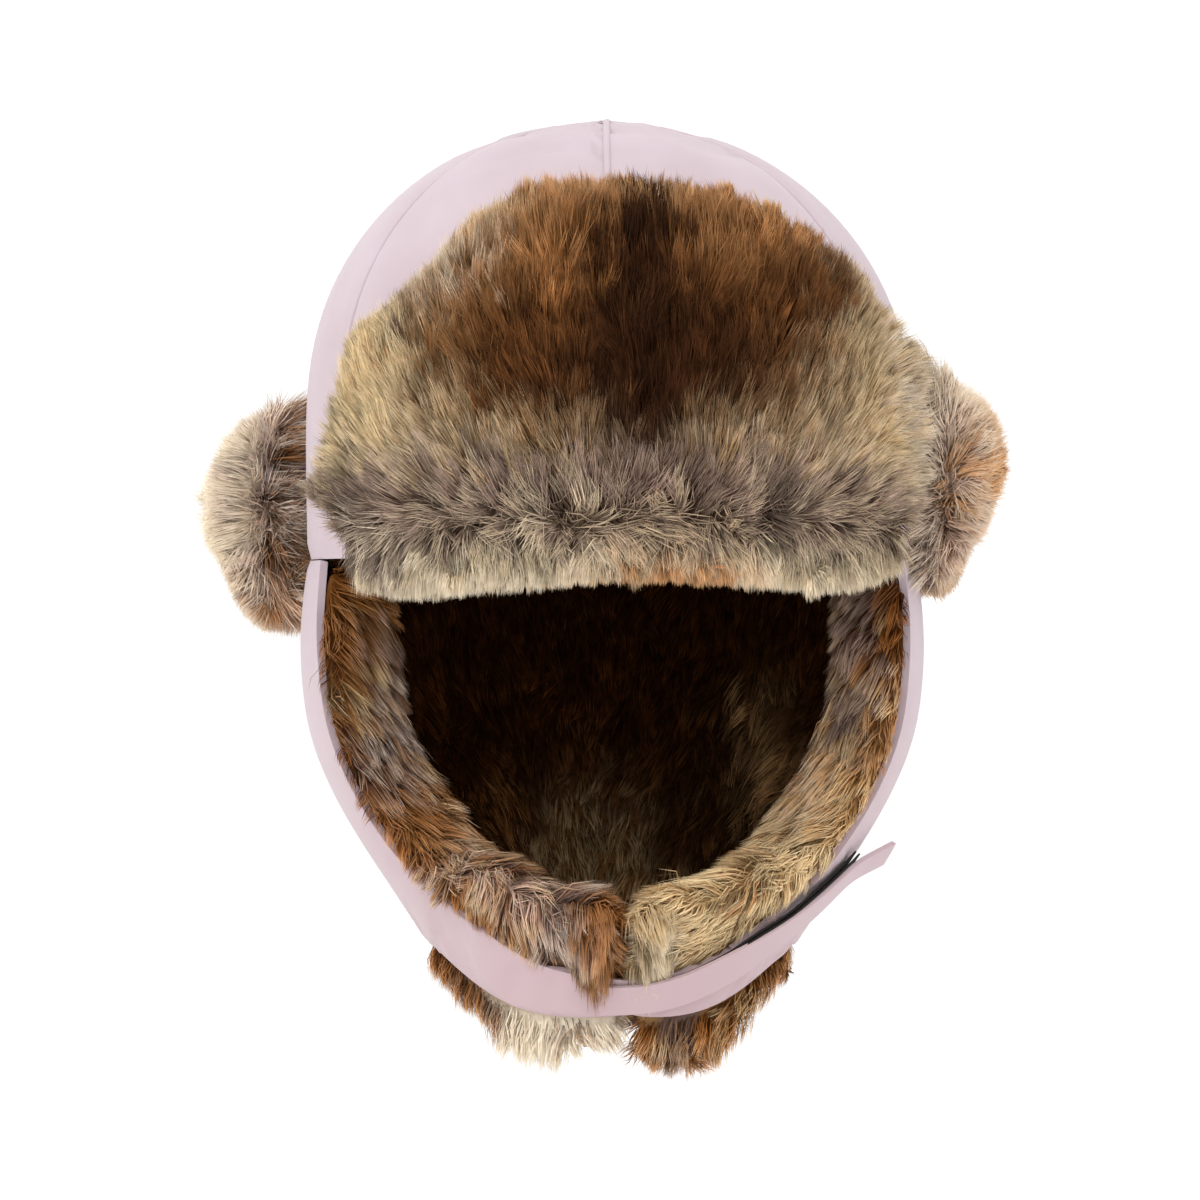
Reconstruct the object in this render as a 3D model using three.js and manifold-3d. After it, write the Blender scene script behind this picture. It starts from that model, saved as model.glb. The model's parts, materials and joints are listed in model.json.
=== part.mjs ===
// A winter trapper hat. Six cloth gores make the crown. Two ear flaps and a nape panel hang from the
// crown's edge and close under the chin with a strap. Deep fur lines them, covers the turned-up front
// flap and covers the cuff that is turned up round the sides and back.
// Lengths are millimetres and angles are degrees round the hat: 0 at the face, 90 at +X, 180 behind.
// +Z is up, the face looks along -Y, and the origin is the middle of the crown's lower edge.

import * as THREE from "three";
import Module from "manifold-3d";

// Crown
const CROWN_HALF_WIDTH = 97.5;
const CROWN_FRONT = 108;
const CROWN_BACK = 117;
const WALL_HEIGHT = 48;
const DOME_RISE = 93;
const DOME_POWER = 2.05;
const CROWN_LEAN = 2.2;
const GORES = 6;
const GORE_COLUMNS = 5;
const CROWN_ROWS = 9;
const GORE_TIP_RADIUS = 1.2;
const CLOTH = 2.5;
const LINING_CLOTH = 1.5;
const SEAM_DIP = 0.9;
const SEAM_GAP = 0.4;
const LAYER_GAP = 0.8;
const CUT_GAP = 0.3;
const TAPE_GAP = 0.3;

// Ear flaps and nape panel
const HOOD_DROP = 150;
const FLAP_ROWS = 16;
const TEMPLE_ANGLE = 70;
const REAR_SEAM_ANGLE = 118;
const CHIN_ANGLE = 5;
const CHIN_GAP = 1.2;

// Fur of the lining
const RUFF_PILE = 24;
const RUFF_EDGE_PILE = 17;
const LINING_PILE = 10;
const RUFF_LEAD = 25;
const RUFF_SWELL = 2.5;
const HEM_GAP = 0.6;
const FRINGE = 12;
const FRINGE_SWELL = 4;
const FLAP_COLUMNS = 5;

// Front flap
const FLAP_LEFT_ANGLE = 50;
const FLAP_RIGHT_ANGLE = 57;
const FLAP_RISE = 99;
const FLAP_DROP = 11;
const FLAP_PILE = 19;

// Cuff
const CUFF_LEFT_ANGLE = 92;
const CUFF_RIGHT_ANGLE = 76;
const CUFF_RISE = 48;
const CUFF_STAND = 6;
const CUFF_CLOTH = 2;
const CUFF_PILE = 21;
const CUFF_RIGHT_LIFT = 13;
const CUFF_LEFT_DROP = 1;
const CUFF_LEAD = 4;
const FOLD_GAP = 1.1;

// Chin strap and its hook-and-loop tapes
const STRAP_WIDTH = 10;
const STRAP_CLOTH = 1.8;
const TAPE = 1.1;
const TAPE_WIDTH = 8.5;
const TAPE_SHOW = 1.6;

// Locks of fur. Seat is how deep in the pile the locks of an edge lie, as a share of the pile.
const LOCK_WIDTH = 18;
const LOCK_DEPTH = 9;
const LOCK_REACH = 11;
const LOCK_ROOT = 6;
const LOCK_SEAT = 0.4;
const EDGE_LOCK_SIZE = 0.9;
const LOCK_UNEVEN = 0.15;

const PINK = 0xdcccd4;
const FUR_BROWN = 0x6e5038;
const FUR_TAN = 0xa88d6b;
const LINING_BROWN = 0x2b1b14;
const TAPE_BLACK = 0x17110f;

// Horizontal sections of the hood below the crown's edge, as shares of the crown's own half width and
// reaches, at a share of the hood's drop.
const HOOD_SECTIONS = [
  { down: 0.0, width: 1.0, front: 1.0, back: 1.0 },
  { down: 0.17, width: 1.028, front: 0.985, back: 0.975 },
  { down: 0.33, width: 1.013, front: 0.97, back: 0.93 },
  { down: 0.44, width: 0.96, front: 0.96, back: 0.88 },
  { down: 0.55, width: 0.875, front: 0.945, back: 0.82 },
  { down: 0.68, width: 0.745, front: 0.915, back: 0.74 },
  { down: 0.81, width: 0.615, front: 0.87, back: 0.67 },
  { down: 0.92, width: 0.545, front: 0.81, back: 0.63 },
  { down: 1.15, width: 0.51, front: 0.76, back: 0.6 },
];

// The far edge of an ear flap turns from the rear seam to the lower hem at this share of its length, and
// the ruff thins to the lining over this share of its width.
const HEM_CORNER = 0.5;
const RUFF_INWARD = 0.7;

// Lower hem of the hood round the hat: the angle is a share of the rear seam's.
const LOWER_HEM = [
  { turn: 0.0, down: 0.92 },
  { turn: 0.15, down: 0.93 },
  { turn: 0.28, down: 0.92 },
  { turn: 0.45, down: 0.87 },
  { turn: 0.6, down: 0.81 },
  { turn: 1.0, down: 0.8 },
  { turn: 1.52, down: 0.82 },
];

// Front hem of an ear flap, from the temple to the chin: the angle is a share of the temple's.
const FRONT_HEM = [
  { along: 0.0, turn: 1.0, down: 0.0 },
  { along: 0.14, turn: 0.98, down: 0.17 },
  { along: 0.3, turn: 0.95, down: 0.42 },
  { along: 0.44, turn: 0.89, down: 0.58 },
  { along: 0.56, turn: 0.8, down: 0.68 },
  { along: 0.68, turn: 0.6, down: 0.755 },
  { along: 0.84, turn: 0.32, down: 0.83 },
  { along: 1.0, turn: 0.0, down: 0.85 },
];

// How far the ruff stands out past the front hem, as a share of its greatest reach.
const RUFF_EDGE = [
  { along: 0.0, lead: 0.15 },
  { along: 0.3, lead: 0.3 },
  { along: 0.5, lead: 0.5 },
  { along: 0.7, lead: 0.9 },
  { along: 1.0, lead: 1.0 },
];

// How far the lining's fur hangs below the lower hem on each side, as a share of the fringe.
const FRINGE_EDGE = [
  { turn: 0.0, left: 0.6, right: 0.8 },
  { turn: 0.14, left: 0.8, right: 1.25 },
  { turn: 0.4, left: 1.0, right: 1.45 },
  { turn: 0.6, left: 1.1, right: 1.0 },
  { turn: 1.0, left: 0.7, right: 0.7 },
];

// Top and bottom edges of the front flap from its left end to its right end, as shares of its rise
// and drop, and the depth of its fur as a share of its pile, with a groove at the centre seam.
const FLAP_EDGES = [
  { across: 0.0, top: 0.55, bottom: -0.2, depth: 0.6 },
  { across: 0.08, top: 0.72, bottom: 1.15, depth: 0.9 },
  { across: 0.2, top: 0.84, bottom: 1.1, depth: 1.0 },
  { across: 0.34, top: 0.96, bottom: 0.85, depth: 1.0 },
  { across: 0.5, top: 1.0, bottom: 0.65, depth: 0.74 },
  { across: 0.66, top: 1.02, bottom: 0.8, depth: 1.0 },
  { across: 0.88, top: 0.93, bottom: 0.95, depth: 0.95 },
  { across: 1.0, top: 0.68, bottom: 0.0, depth: 0.6 },
];

// The same depth over the height of the front flap.
const FLAP_DEPTH = [
  { up: 0.0, depth: 0.42 },
  { up: 0.08, depth: 0.85 },
  { up: 0.2, depth: 1.0 },
  { up: 0.5, depth: 0.98 },
  { up: 0.8, depth: 0.8 },
  { up: 1.0, depth: 0.45 },
];

// Cross-section of the cuff: sewn in at the crown's edge, folded, and turned up outside it. Out is a
// share of its stand-off and up a share of its rise.
const CUFF_FOLD = [
  { along: 0.0, out: 0.0, up: -0.06 },
  { along: 0.13, out: 0.3, up: -0.24 },
  { along: 0.26, out: 0.85, up: -0.26 },
  { along: 0.4, out: 1.1, up: -0.04 },
  { along: 0.6, out: 1.12, up: 0.34 },
  { along: 0.8, out: 1.05, up: 0.68 },
  { along: 1.0, out: 0.95, up: 1.0 },
];
const CUFF_ROWS = 10;
const CUFF_FUR_ROWS = 8;
const CUFF_COLUMNS = 20;
const NAPE_COLUMNS = 10;
const NAPE_ROWS = 6;

// Depth of the cuff's fur from its fold to its free edge, as a share of its pile.
const CUFF_DEPTH = [
  { along: 0.0, depth: 0.4 },
  { along: 0.15, depth: 0.85 },
  { along: 0.45, depth: 1.05 },
  { along: 0.8, depth: 0.95 },
  { along: 1.0, depth: 0.6 },
];

// How far the cuff stands off the crown, how high it is and how deep its fur is, from its right end
// round the back.
const CUFF_ROUND = [
  { round: 0.0, stand: 0.9, rise: 0.9, pile: 0.55 },
  { round: 0.07, stand: 0.9, rise: 1.0, pile: 0.95 },
  { round: 0.3, stand: 0.7, rise: 0.98, pile: 0.9 },
  { round: 0.5, stand: 0.6, rise: 0.95, pile: 0.9 },
  { round: 0.7, stand: 0.8, rise: 1.0, pile: 1.0 },
  { round: 0.93, stand: 1.8, rise: 1.0, pile: 1.15 },
  { round: 1.0, stand: 1.9, rise: 0.95, pile: 0.75 },
];

// Run of the chin strap over the hood: the angle is a share of the rear seam's, and lift is 0 where
// the strap lies on the cloth and 1 where it lies on its tapes. Its tip curls away from the hat.
const STRAP_RUN = [
  { along: 0.0, turn: -0.04, down: 0.89, lift: 0.0 },
  { along: 0.1, turn: 0.06, down: 0.885, lift: 0.5 },
  { along: 0.22, turn: 0.16, down: 0.865, lift: 1.0 },
  { along: 0.45, turn: 0.34, down: 0.8, lift: 1.0 },
  { along: 0.68, turn: 0.48, down: 0.725, lift: 1.0 },
  { along: 0.86, turn: 0.59, down: 0.65, lift: 1.0 },
  { along: 1.0, turn: 0.67, down: 0.59, lift: 2.8 },
];
const TAPE_FROM = 0.23;
const TAPE_TO = 0.9;
const STRAP_STEPS = 18;
const TAPE_STEPS = 12;

// Rows of locks along the edges of the lining's fur. A row runs from one share of its edge to another,
// and its locks stand out by a share of their reach, give or take the spread.
const RUFF_LOCKS = { count: 14, from: 0.05, to: 0.91, reach: 0.6, spread: 0.2 };
const FRINGE_LOCKS = { count: 8, from: 0.53, to: 0.95, reach: 0.6, spread: 0.3 };
const NAPE_LOCKS = { count: 9, from: 0.1, to: 0.9, reach: 0.7, spread: 0.3 };

// Rows of locks across the front flap, at shares of its height. Lie is how far up the flap they point.
const FLAP_LOCKS = [
  { count: 11, from: 0.06, to: 0.94, up: 0.88, lie: 0.21, size: 1.0 },
  { count: 11, from: 0.06, to: 0.94, up: 0.12, lie: -0.15, size: 0.9 },
  { count: 7, from: 0.12, to: 0.9, up: 0.3, lie: 0.17, size: 1.2 },
  { count: 7, from: 0.13, to: 0.91, up: 0.5, lie: 0.17, size: 1.2 },
  { count: 7, from: 0.14, to: 0.92, up: 0.7, lie: 0.17, size: 1.2 },
];

// Locks at the two ends of the front flap: one set a little in from the end points past it.
const FLAP_END_LOCKS = [
  { up: 0.3, inset: 0.05, past: 0.02, lie: 0.08 },
  { up: 0.5, inset: 0.05, past: 0.02, lie: 0.08 },
  { up: 0.7, inset: 0.05, past: 0.02, lie: 0.08 },
];

// Rows of locks round the cuff. A lock runs from one share of the cuff's length to another. Its tip
// stands out of the fur and above the free edge by shares of a lock's reach.
const CUFF_LOCKS = [
  { count: 13, from: 0.03, to: 0.966, root: 0.86, tip: 1.0, out: -0.3, rise: 0.8, spread: 0.3 },
  { count: 13, from: 0.03, to: 0.966, root: 0.34, tip: 0.06, out: 0.2, rise: 0.0, spread: 0.0 },
  { count: 12, from: 0.069, to: 0.927, root: 0.45, tip: 0.78, out: 0.25, rise: 0.0, spread: 0.0 },
];
const CUFF_LOCK_SIZE = 1.2;

const wasm = await Module();
wasm.setup();

const { lerp, degToRad, radToDeg, smoothstep } = THREE.MathUtils;

// A smooth curve, without overshoot, through one column of a table that is in order of another.
function follow(table, by, column, at) {
  const last = table.length - 1;
  let i = 0;
  while (i < last - 1 && at > table[i + 1][by]) i += 1;
  const chord = (k) => (table[k + 1][column] - table[k][column]) / (table[k + 1][by] - table[k][by]);
  const slope = (k) => {
    const before = chord(Math.max(k - 1, 0));
    const after = chord(Math.min(k, last - 1));
    return before * after > 0 ? (2 * before * after) / (before + after) : 0;
  };
  const start = table[i];
  const end = table[i + 1];
  const span = end[by] - start[by];
  const t = THREE.MathUtils.clamp((at - start[by]) / span, 0, 1);
  const rise = end[column] - start[column];
  const first = slope(i) * span;
  const second = slope(i + 1) * span;
  return (
    start[column] + first * t + (3 * rise - 2 * first - second) * t * t +
    (first + second - 2 * rise) * t * t * t
  );
}

// The crown's height from its edge to its top, measured along the cloth.
const DOME_LENGTH = (DOME_RISE * Math.PI) / 2;
const CROWN_LENGTH = WALL_HEIGHT + DOME_LENGTH;

// Half width, reaches and height of the hat's outside at a level: millimetres up the cloth from the
// crown's edge, and below zero straight down the hood.
function section(level) {
  if (level < 0) {
    const down = -level / HOOD_DROP;
    return {
      width: CROWN_HALF_WIDTH * follow(HOOD_SECTIONS, "down", "width", down),
      front: CROWN_FRONT * follow(HOOD_SECTIONS, "down", "front", down),
      back: CROWN_BACK * follow(HOOD_SECTIONS, "down", "back", down),
      height: level,
    };
  }
  const turned = (Math.max(level - WALL_HEIGHT, 0) / DOME_LENGTH) * (Math.PI / 2);
  const share = Math.max(Math.cos(turned), 0) ** (2 / DOME_POWER);
  return {
    width: CROWN_HALF_WIDTH * share,
    front: CROWN_FRONT * share,
    back: CROWN_BACK * share,
    height: Math.min(level, WALL_HEIGHT) + DOME_RISE * Math.sin(turned) ** (2 / DOME_POWER),
  };
}

function onSurface(angle, level) {
  const { width, front, back, height } = section(level);
  const turn = degToRad(angle);
  const reach = Math.cos(turn) > 0 ? front : back;
  const lean = (CROWN_LEAN * Math.max(height, 0)) / (WALL_HEIGHT + DOME_RISE);
  return new THREE.Vector3(width * Math.sin(turn) - lean, -reach * Math.cos(turn), height);
}

// The direction out of the hat's surface, up at the very top of the crown.
function outward(angle, level) {
  const turn = 0.2;
  const step = 0.2;
  const round = onSurface(angle + turn, level).sub(onSurface(angle - turn, level));
  const rise = onSurface(angle, level + step).sub(onSurface(angle, level - step));
  const normal = round.cross(rise);
  return level > CROWN_LENGTH - step ? new THREE.Vector3(0, 0, 1) : normal.normalize();
}

function place(angle, level, offset) {
  return onSurface(angle, level).addScaledVector(outward(angle, level), offset);
}

// Vertices and triangles of a mesh, with equal vertices shared and collapsed triangles left out.
class Shape {
  points = [];
  triangles = [];
  numbers = new Map();

  number(point) {
    const key = point.toArray().map((value) => Math.round(value * 1e4)).join();
    if (!this.numbers.has(key)) {
      this.numbers.set(key, this.points.length / 3);
      this.points.push(...point.toArray());
    }
    return this.numbers.get(key);
  }

  quad(a, b, c, d) {
    this.triangle(a, b, c);
    this.triangle(a, c, d);
  }

  triangle(a, b, c) {
    const corners = [this.number(a), this.number(b), this.number(c)];
    if (new Set(corners).size === 3) this.triangles.push(corners);
  }

  solid() {
    const made = this.manifold(this.triangles);
    if (made.volume() > 0) return made;
    return this.manifold(this.triangles.map(([a, b, c]) => [a, c, b]));
  }

  manifold(triangles) {
    return new wasm.Manifold(
      new wasm.Mesh({
        numProp: 3,
        vertProperties: new Float32Array(this.points),
        triVerts: new Uint32Array(triangles.flat()),
      }),
    );
  }
}

// A closed wall between an inner face and an outer one. spot(across, along, side) gives its points,
// with side 0 on the inner face and 1 on the outer. A ring has no ends across.
function wall(columns, rows, spot, ring = false) {
  const shape = new Shape();
  const grid = [0, 1].map((side) =>
    Array.from({ length: columns + 1 }, (_, i) =>
      Array.from({ length: rows + 1 }, (__, j) => spot(i / columns, j / rows, side)),
    ),
  );
  const [inner, outer] = grid;
  for (let i = 0; i < columns; i += 1) {
    for (let j = 0; j < rows; j += 1) {
      shape.quad(outer[i][j], outer[i + 1][j], outer[i + 1][j + 1], outer[i][j + 1]);
      shape.quad(inner[i][j], inner[i][j + 1], inner[i + 1][j + 1], inner[i + 1][j]);
    }
    shape.quad(inner[i][0], inner[i + 1][0], outer[i + 1][0], outer[i][0]);
    shape.quad(outer[i][rows], outer[i + 1][rows], inner[i + 1][rows], inner[i][rows]);
  }
  for (let j = 0; j < rows && !ring; j += 1) {
    shape.quad(outer[0][j], outer[0][j + 1], inner[0][j + 1], inner[0][j]);
    shape.quad(inner[columns][j], inner[columns][j + 1], outer[columns][j + 1], outer[columns][j]);
  }
  return shape.solid();
}

// One lock of fur: a leaf with four edges that swells from its root and ends in a point.
function lock(root, tip, out, size = 1) {
  const run = tip.clone().sub(root);
  const side = run.clone().cross(out).normalize();
  const up = side.clone().cross(run).normalize();
  const ring = (share, swell) =>
    [[1, 0], [0, 1], [-1, 0], [0, -1]].map(([a, b]) =>
      root.clone().addScaledVector(run, share)
        .addScaledVector(side, (a * swell * size * LOCK_WIDTH) / 2)
        .addScaledVector(up, (b * swell * size * LOCK_DEPTH) / 2),
    );
  const foot = ring(0, 0.6);
  const belly = ring(0.4, 1);
  const shape = new Shape();
  shape.quad(foot[0], foot[1], foot[2], foot[3]);
  for (let i = 0; i < 4; i += 1) {
    const next = (i + 1) % 4;
    shape.quad(foot[i], belly[i], belly[next], foot[next]);
    shape.triangle(belly[i], tip, belly[next]);
  }
  return shape.solid();
}

// Fur is a backing with its locks joined to it.
function furred(backing, locks) {
  return locks.reduce((fur, one) => fur.add(one), backing);
}

// The locks of one evenly spaced row. make(share, number) gives a lock.
function lockRow({ count, from, to }, make) {
  return Array.from({ length: count }, (_, i) => make(lerp(from, to, i / (count - 1)), i));
}

// A repeatable number from -1 to 1 that keeps neighbouring locks from looking alike.
function vary(number) {
  const wave = Math.sin(number * 12.9898) * 43758.5453;
  return 2 * (wave - Math.floor(wave)) - 1;
}

// A padded gore dips where it is sewn to its neighbours.
function gore(number) {
  const span = 360 / GORES;
  const tipTurn = Math.acos((GORE_TIP_RADIUS / CROWN_HALF_WIDTH) ** (DOME_POWER / 2));
  const tipLevel = WALL_HEIGHT + (tipTurn / (Math.PI / 2)) * DOME_LENGTH;
  return wall(GORE_COLUMNS, CROWN_ROWS, (across, along, side) => {
    const level = along * tipLevel;
    const margin = radToDeg(Math.asin(SEAM_GAP / 2 / section(level).width));
    const angle = lerp(number * span + margin, (number + 1) * span - margin, across);
    const dip = SEAM_DIP * Math.abs(2 * across - 1) ** 6;
    return place(angle, level, side ? -dip : -CLOTH);
  });
}

function crownLining() {
  const outside = -CLOTH - LAYER_GAP;
  return wall(
    GORES * GORE_COLUMNS,
    CROWN_ROWS,
    (across, along, side) =>
      place((across % 1) * 360, along * CROWN_LENGTH, side ? outside : outside - LINING_CLOTH),
    true,
  );
}

function lowerHem(angle) {
  return follow(LOWER_HEM, "turn", "down", Math.min(angle, 360 - angle) / REAR_SEAM_ANGLE);
}

// A point of an ear flap in angle and drop. Across runs from the front hem at 0 to the rear seam and
// the lower hem at 1, and along runs from the temple to the chin. Past is how far outside the front hem
// the point lies, and fringe how far the flap is made longer at its lower hem.
function flapSpot(across, along, chin, past = 0, fringe = () => 0) {
  const gap = radToDeg(SEAM_GAP / CROWN_BACK);
  const rear = REAR_SEAM_ANGLE - gap;
  const frontTurn = TEMPLE_ANGLE * follow(FRONT_HEM, "along", "turn", along);
  const front = {
    angle: lerp(frontTurn, Math.max(frontTurn, 0) + chin, along),
    drop: HOOD_DROP * follow(FRONT_HEM, "along", "down", along),
  };
  const lowAngle = lerp(rear, chin, Math.max(along - HEM_CORNER, 0) / (1 - HEM_CORNER));
  const low = HOOD_DROP * lowerHem(Math.abs(lowAngle)) + fringe(Math.abs(lowAngle));
  const back = { angle: lowAngle, drop: low * Math.min(along / HEM_CORNER, 1) };
  const up = smoothstep(along, 0.4, 0.85) * (Math.PI / 2);
  const forward = radToDeg((past * Math.cos(up)) / CROWN_HALF_WIDTH);
  return {
    angle: lerp(front.angle, back.angle, across) - forward,
    drop: Math.max(lerp(front.drop, back.drop, across) - past * Math.sin(up), 0),
  };
}

// side is 1 for the flap at +X, on which the strap is fastened, and -1 for the other.
function chinEnd(side) {
  return side * CHIN_ANGLE + radToDeg(CHIN_GAP / 2 / CROWN_FRONT);
}

// Clear makes the flap larger on all sides, to cut the fur that lies on it.
function earFlap(side, clear = 0) {
  return wall(FLAP_COLUMNS, FLAP_ROWS, (across, along, face) => {
    const { angle, drop } = flapSpot(across, along, chinEnd(side), across ? 0 : clear, () => clear);
    return place(side * angle, -SEAM_GAP - drop, face ? clear : -CLOTH - clear);
  });
}

function napePanel(clear = 0) {
  const gap = radToDeg(SEAM_GAP / CROWN_BACK);
  return wall(NAPE_COLUMNS, NAPE_ROWS, (across, along, face) => {
    const angle = lerp(REAR_SEAM_ANGLE + gap, 360 - REAR_SEAM_ANGLE - gap, across);
    return place(angle, -SEAM_GAP - along * HOOD_DROP * lowerHem(angle), face ? clear : -CLOTH - clear);
  });
}

// Fur inside an ear flap. Its first column is the ruff, which stands out past the front hem and swells
// round the face, and its last column is the fringe that hangs below the lower hem.
function earFlapFur(side) {
  const chin = chinEnd(side);
  const outside = -CLOTH - LAYER_GAP;
  const column = 1 / (FLAP_COLUMNS + 2);
  const name = side < 0 ? "left" : "right";
  const length = (angle) => follow(FRINGE_EDGE, "turn", name, angle / REAR_SEAM_ANGLE);
  const spot = (across, along, depth) => {
    const ruff = Math.max(1 - across / column, 0);
    const below = Math.max((across - 1) / column + 1, 0) * smoothstep(along, HEM_CORNER, HEM_CORNER + 0.1);
    const inside = THREE.MathUtils.clamp((across - column) / (1 - 2 * column), 0, 1);
    const lead = RUFF_LEAD * follow(RUFF_EDGE, "along", "lead", along);
    const past = inside > 0 ? 0 : lerp(HEM_GAP, lead, ruff);
    const fringe = (angle) => (along > HEM_CORNER ? HEM_GAP + below * FRINGE * length(angle) : 0);
    const { angle, drop } = flapSpot(inside, along, chin, past, fringe);
    const swell = ruff * (RUFF_SWELL - outside) + below * (FRINGE_SWELL - outside);
    return place(side * angle, -SEAM_GAP - drop, outside + swell - depth);
  };
  const pile = (across) =>
    across < column
      ? RUFF_EDGE_PILE
      : lerp(RUFF_PILE, LINING_PILE, smoothstep(across, column, RUFF_INWARD));
  const backing = wall(FLAP_COLUMNS + 2, FLAP_ROWS, (across, along, face) =>
    spot(across, along, face ? 0 : pile(across)),
  );
  const out = outward(side * TEMPLE_ANGLE, 0);
  const ruffLocks = lockRow(RUFF_LOCKS, (along, i) => {
    const root = spot(0.8 * column, along, LOCK_SEAT * RUFF_PILE);
    const tip = spot(0, along, LOCK_SEAT * RUFF_PILE);
    const reach = LOCK_REACH * (RUFF_LOCKS.reach + RUFF_LOCKS.spread * vary(i));
    tip.addScaledVector(tip.clone().sub(root).normalize(), reach);
    return lock(root, tip, out, EDGE_LOCK_SIZE + LOCK_UNEVEN * vary(i + 7));
  });
  const fringeLocks = lockRow(FRINGE_LOCKS, (along, i) => {
    const root = spot(1 - 0.7 * column, along, LOCK_SEAT * LINING_PILE);
    const tip = spot(1, along, LOCK_SEAT * LINING_PILE);
    tip.z -= LOCK_REACH * (FRINGE_LOCKS.reach + FRINGE_LOCKS.spread * vary(i + 20));
    return lock(root, tip, out, EDGE_LOCK_SIZE + LOCK_UNEVEN * vary(i + 20));
  });
  return furred(backing.subtract(earFlap(side, CUT_GAP)), [...ruffLocks, ...fringeLocks]);
}

function napeFur() {
  const gap = radToDeg(SEAM_GAP / CROWN_BACK);
  const outside = -CLOTH - LAYER_GAP;
  const spot = (across, along, depth) => {
    const angle = lerp(REAR_SEAM_ANGLE + gap, 360 - REAR_SEAM_ANGLE - gap, across);
    return place(angle, -SEAM_GAP - along * (HOOD_DROP * lowerHem(angle) + FRINGE), outside - depth);
  };
  const backing = wall(NAPE_COLUMNS, NAPE_ROWS, (across, along, face) =>
    spot(across, along, face ? 0 : LINING_PILE),
  );
  const locks = lockRow(NAPE_LOCKS, (across, i) => {
    const root = spot(across, 0.93, LOCK_SEAT * LINING_PILE);
    const tip = spot(across, 1, LOCK_SEAT * LINING_PILE);
    tip.z -= LOCK_REACH * (NAPE_LOCKS.reach + NAPE_LOCKS.spread * vary(i + 40));
    return lock(root, tip, outward(180, 0), EDGE_LOCK_SIZE);
  });
  return furred(backing.subtract(napePanel(CUT_GAP)), locks);
}

// The front flap lies turned up against the crown. Its pile runs up above a parting near the fold and
// down below it.
function frontFlap() {
  const spot = (across, up, depth) => {
    const angle = lerp(-FLAP_LEFT_ANGLE, FLAP_RIGHT_ANGLE, across);
    const top = FLAP_RISE * follow(FLAP_EDGES, "across", "top", across);
    const bottom = -FLAP_DROP * follow(FLAP_EDGES, "across", "bottom", across);
    return place(angle, lerp(bottom, top, up), LAYER_GAP + depth);
  };
  const pile = (across, up) =>
    FLAP_PILE * follow(FLAP_DEPTH, "up", "depth", up) * follow(FLAP_EDGES, "across", "depth", across);
  const backing = wall(16, 8, (across, up, face) => spot(across, up, face ? pile(across, up) : 0));
  const make = (across, up, toAcross, toUp, size, number) => {
    const depth = Math.max(pile(across, up) - LOCK_ROOT, LOCK_SEAT * LOCK_DEPTH);
    const root = spot(across, up, depth);
    const tip = spot(toAcross, toUp, depth + LOCK_REACH * (0.6 + LOCK_UNEVEN * vary(number)));
    return lock(root, tip, outward(lerp(-FLAP_LEFT_ANGLE, FLAP_RIGHT_ANGLE, across), 0), size);
  };
  const rows = FLAP_LOCKS.flatMap((row, number) =>
    lockRow(row, (across, i) => {
      const turn = 0.01 * vary(i + 3 * number);
      return make(across, row.up, across + turn, row.up + row.lie, row.size, i + 20 * number);
    }),
  );
  const ends = FLAP_END_LOCKS.flatMap(({ up, inset, past, lie }, i) => [
    make(inset, up, -past, up + lie, 1, i + 30),
    make(1 - inset, up, 1 + past, up + lie, 1, i + 33),
  ]);
  return furred(backing, [...rows, ...ends]);
}

// Angle, level and offset of a point of the cuff, which follows its fold round the back of the hat.
// Depth is how far outside the middle of its cloth it is.
function cuffSpot(round, along, depth) {
  const angle = lerp(CUFF_RIGHT_ANGLE, 360 - CUFF_LEFT_ANGLE, round);
  const stand = CUFF_STAND * follow(CUFF_ROUND, "round", "stand", round);
  const rise = CUFF_RISE * follow(CUFF_ROUND, "round", "rise", round);
  const fold = (at) => ({
    out: stand * follow(CUFF_FOLD, "along", "out", at),
    up: rise * follow(CUFF_FOLD, "along", "up", at),
  });
  const step = 0.01;
  const here = fold(along);
  const before = fold(Math.max(along - step, 0));
  const after = fold(Math.min(along + step, 1));
  const length = Math.hypot(after.out - before.out, after.up - before.up);
  const out = (after.up - before.up) / length;
  const up = -(after.out - before.out) / length;
  const tilt = lerp(CUFF_RIGHT_LIFT, -CUFF_LEFT_DROP, round) * smoothstep(along, 0, 0.3);
  const offset = LAYER_GAP + CUFF_CLOTH / 2 + here.out + out * depth;
  return { angle, level: here.up + tilt + up * depth, offset: Math.max(offset, LAYER_GAP) };
}

function cuffCloth() {
  const half = CUFF_CLOTH / 2;
  return wall(CUFF_COLUMNS, CUFF_ROWS, (round, along, face) => {
    const { angle, level, offset } = cuffSpot(round, along, face ? half : -half);
    return place(angle, level, offset);
  });
}

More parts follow.
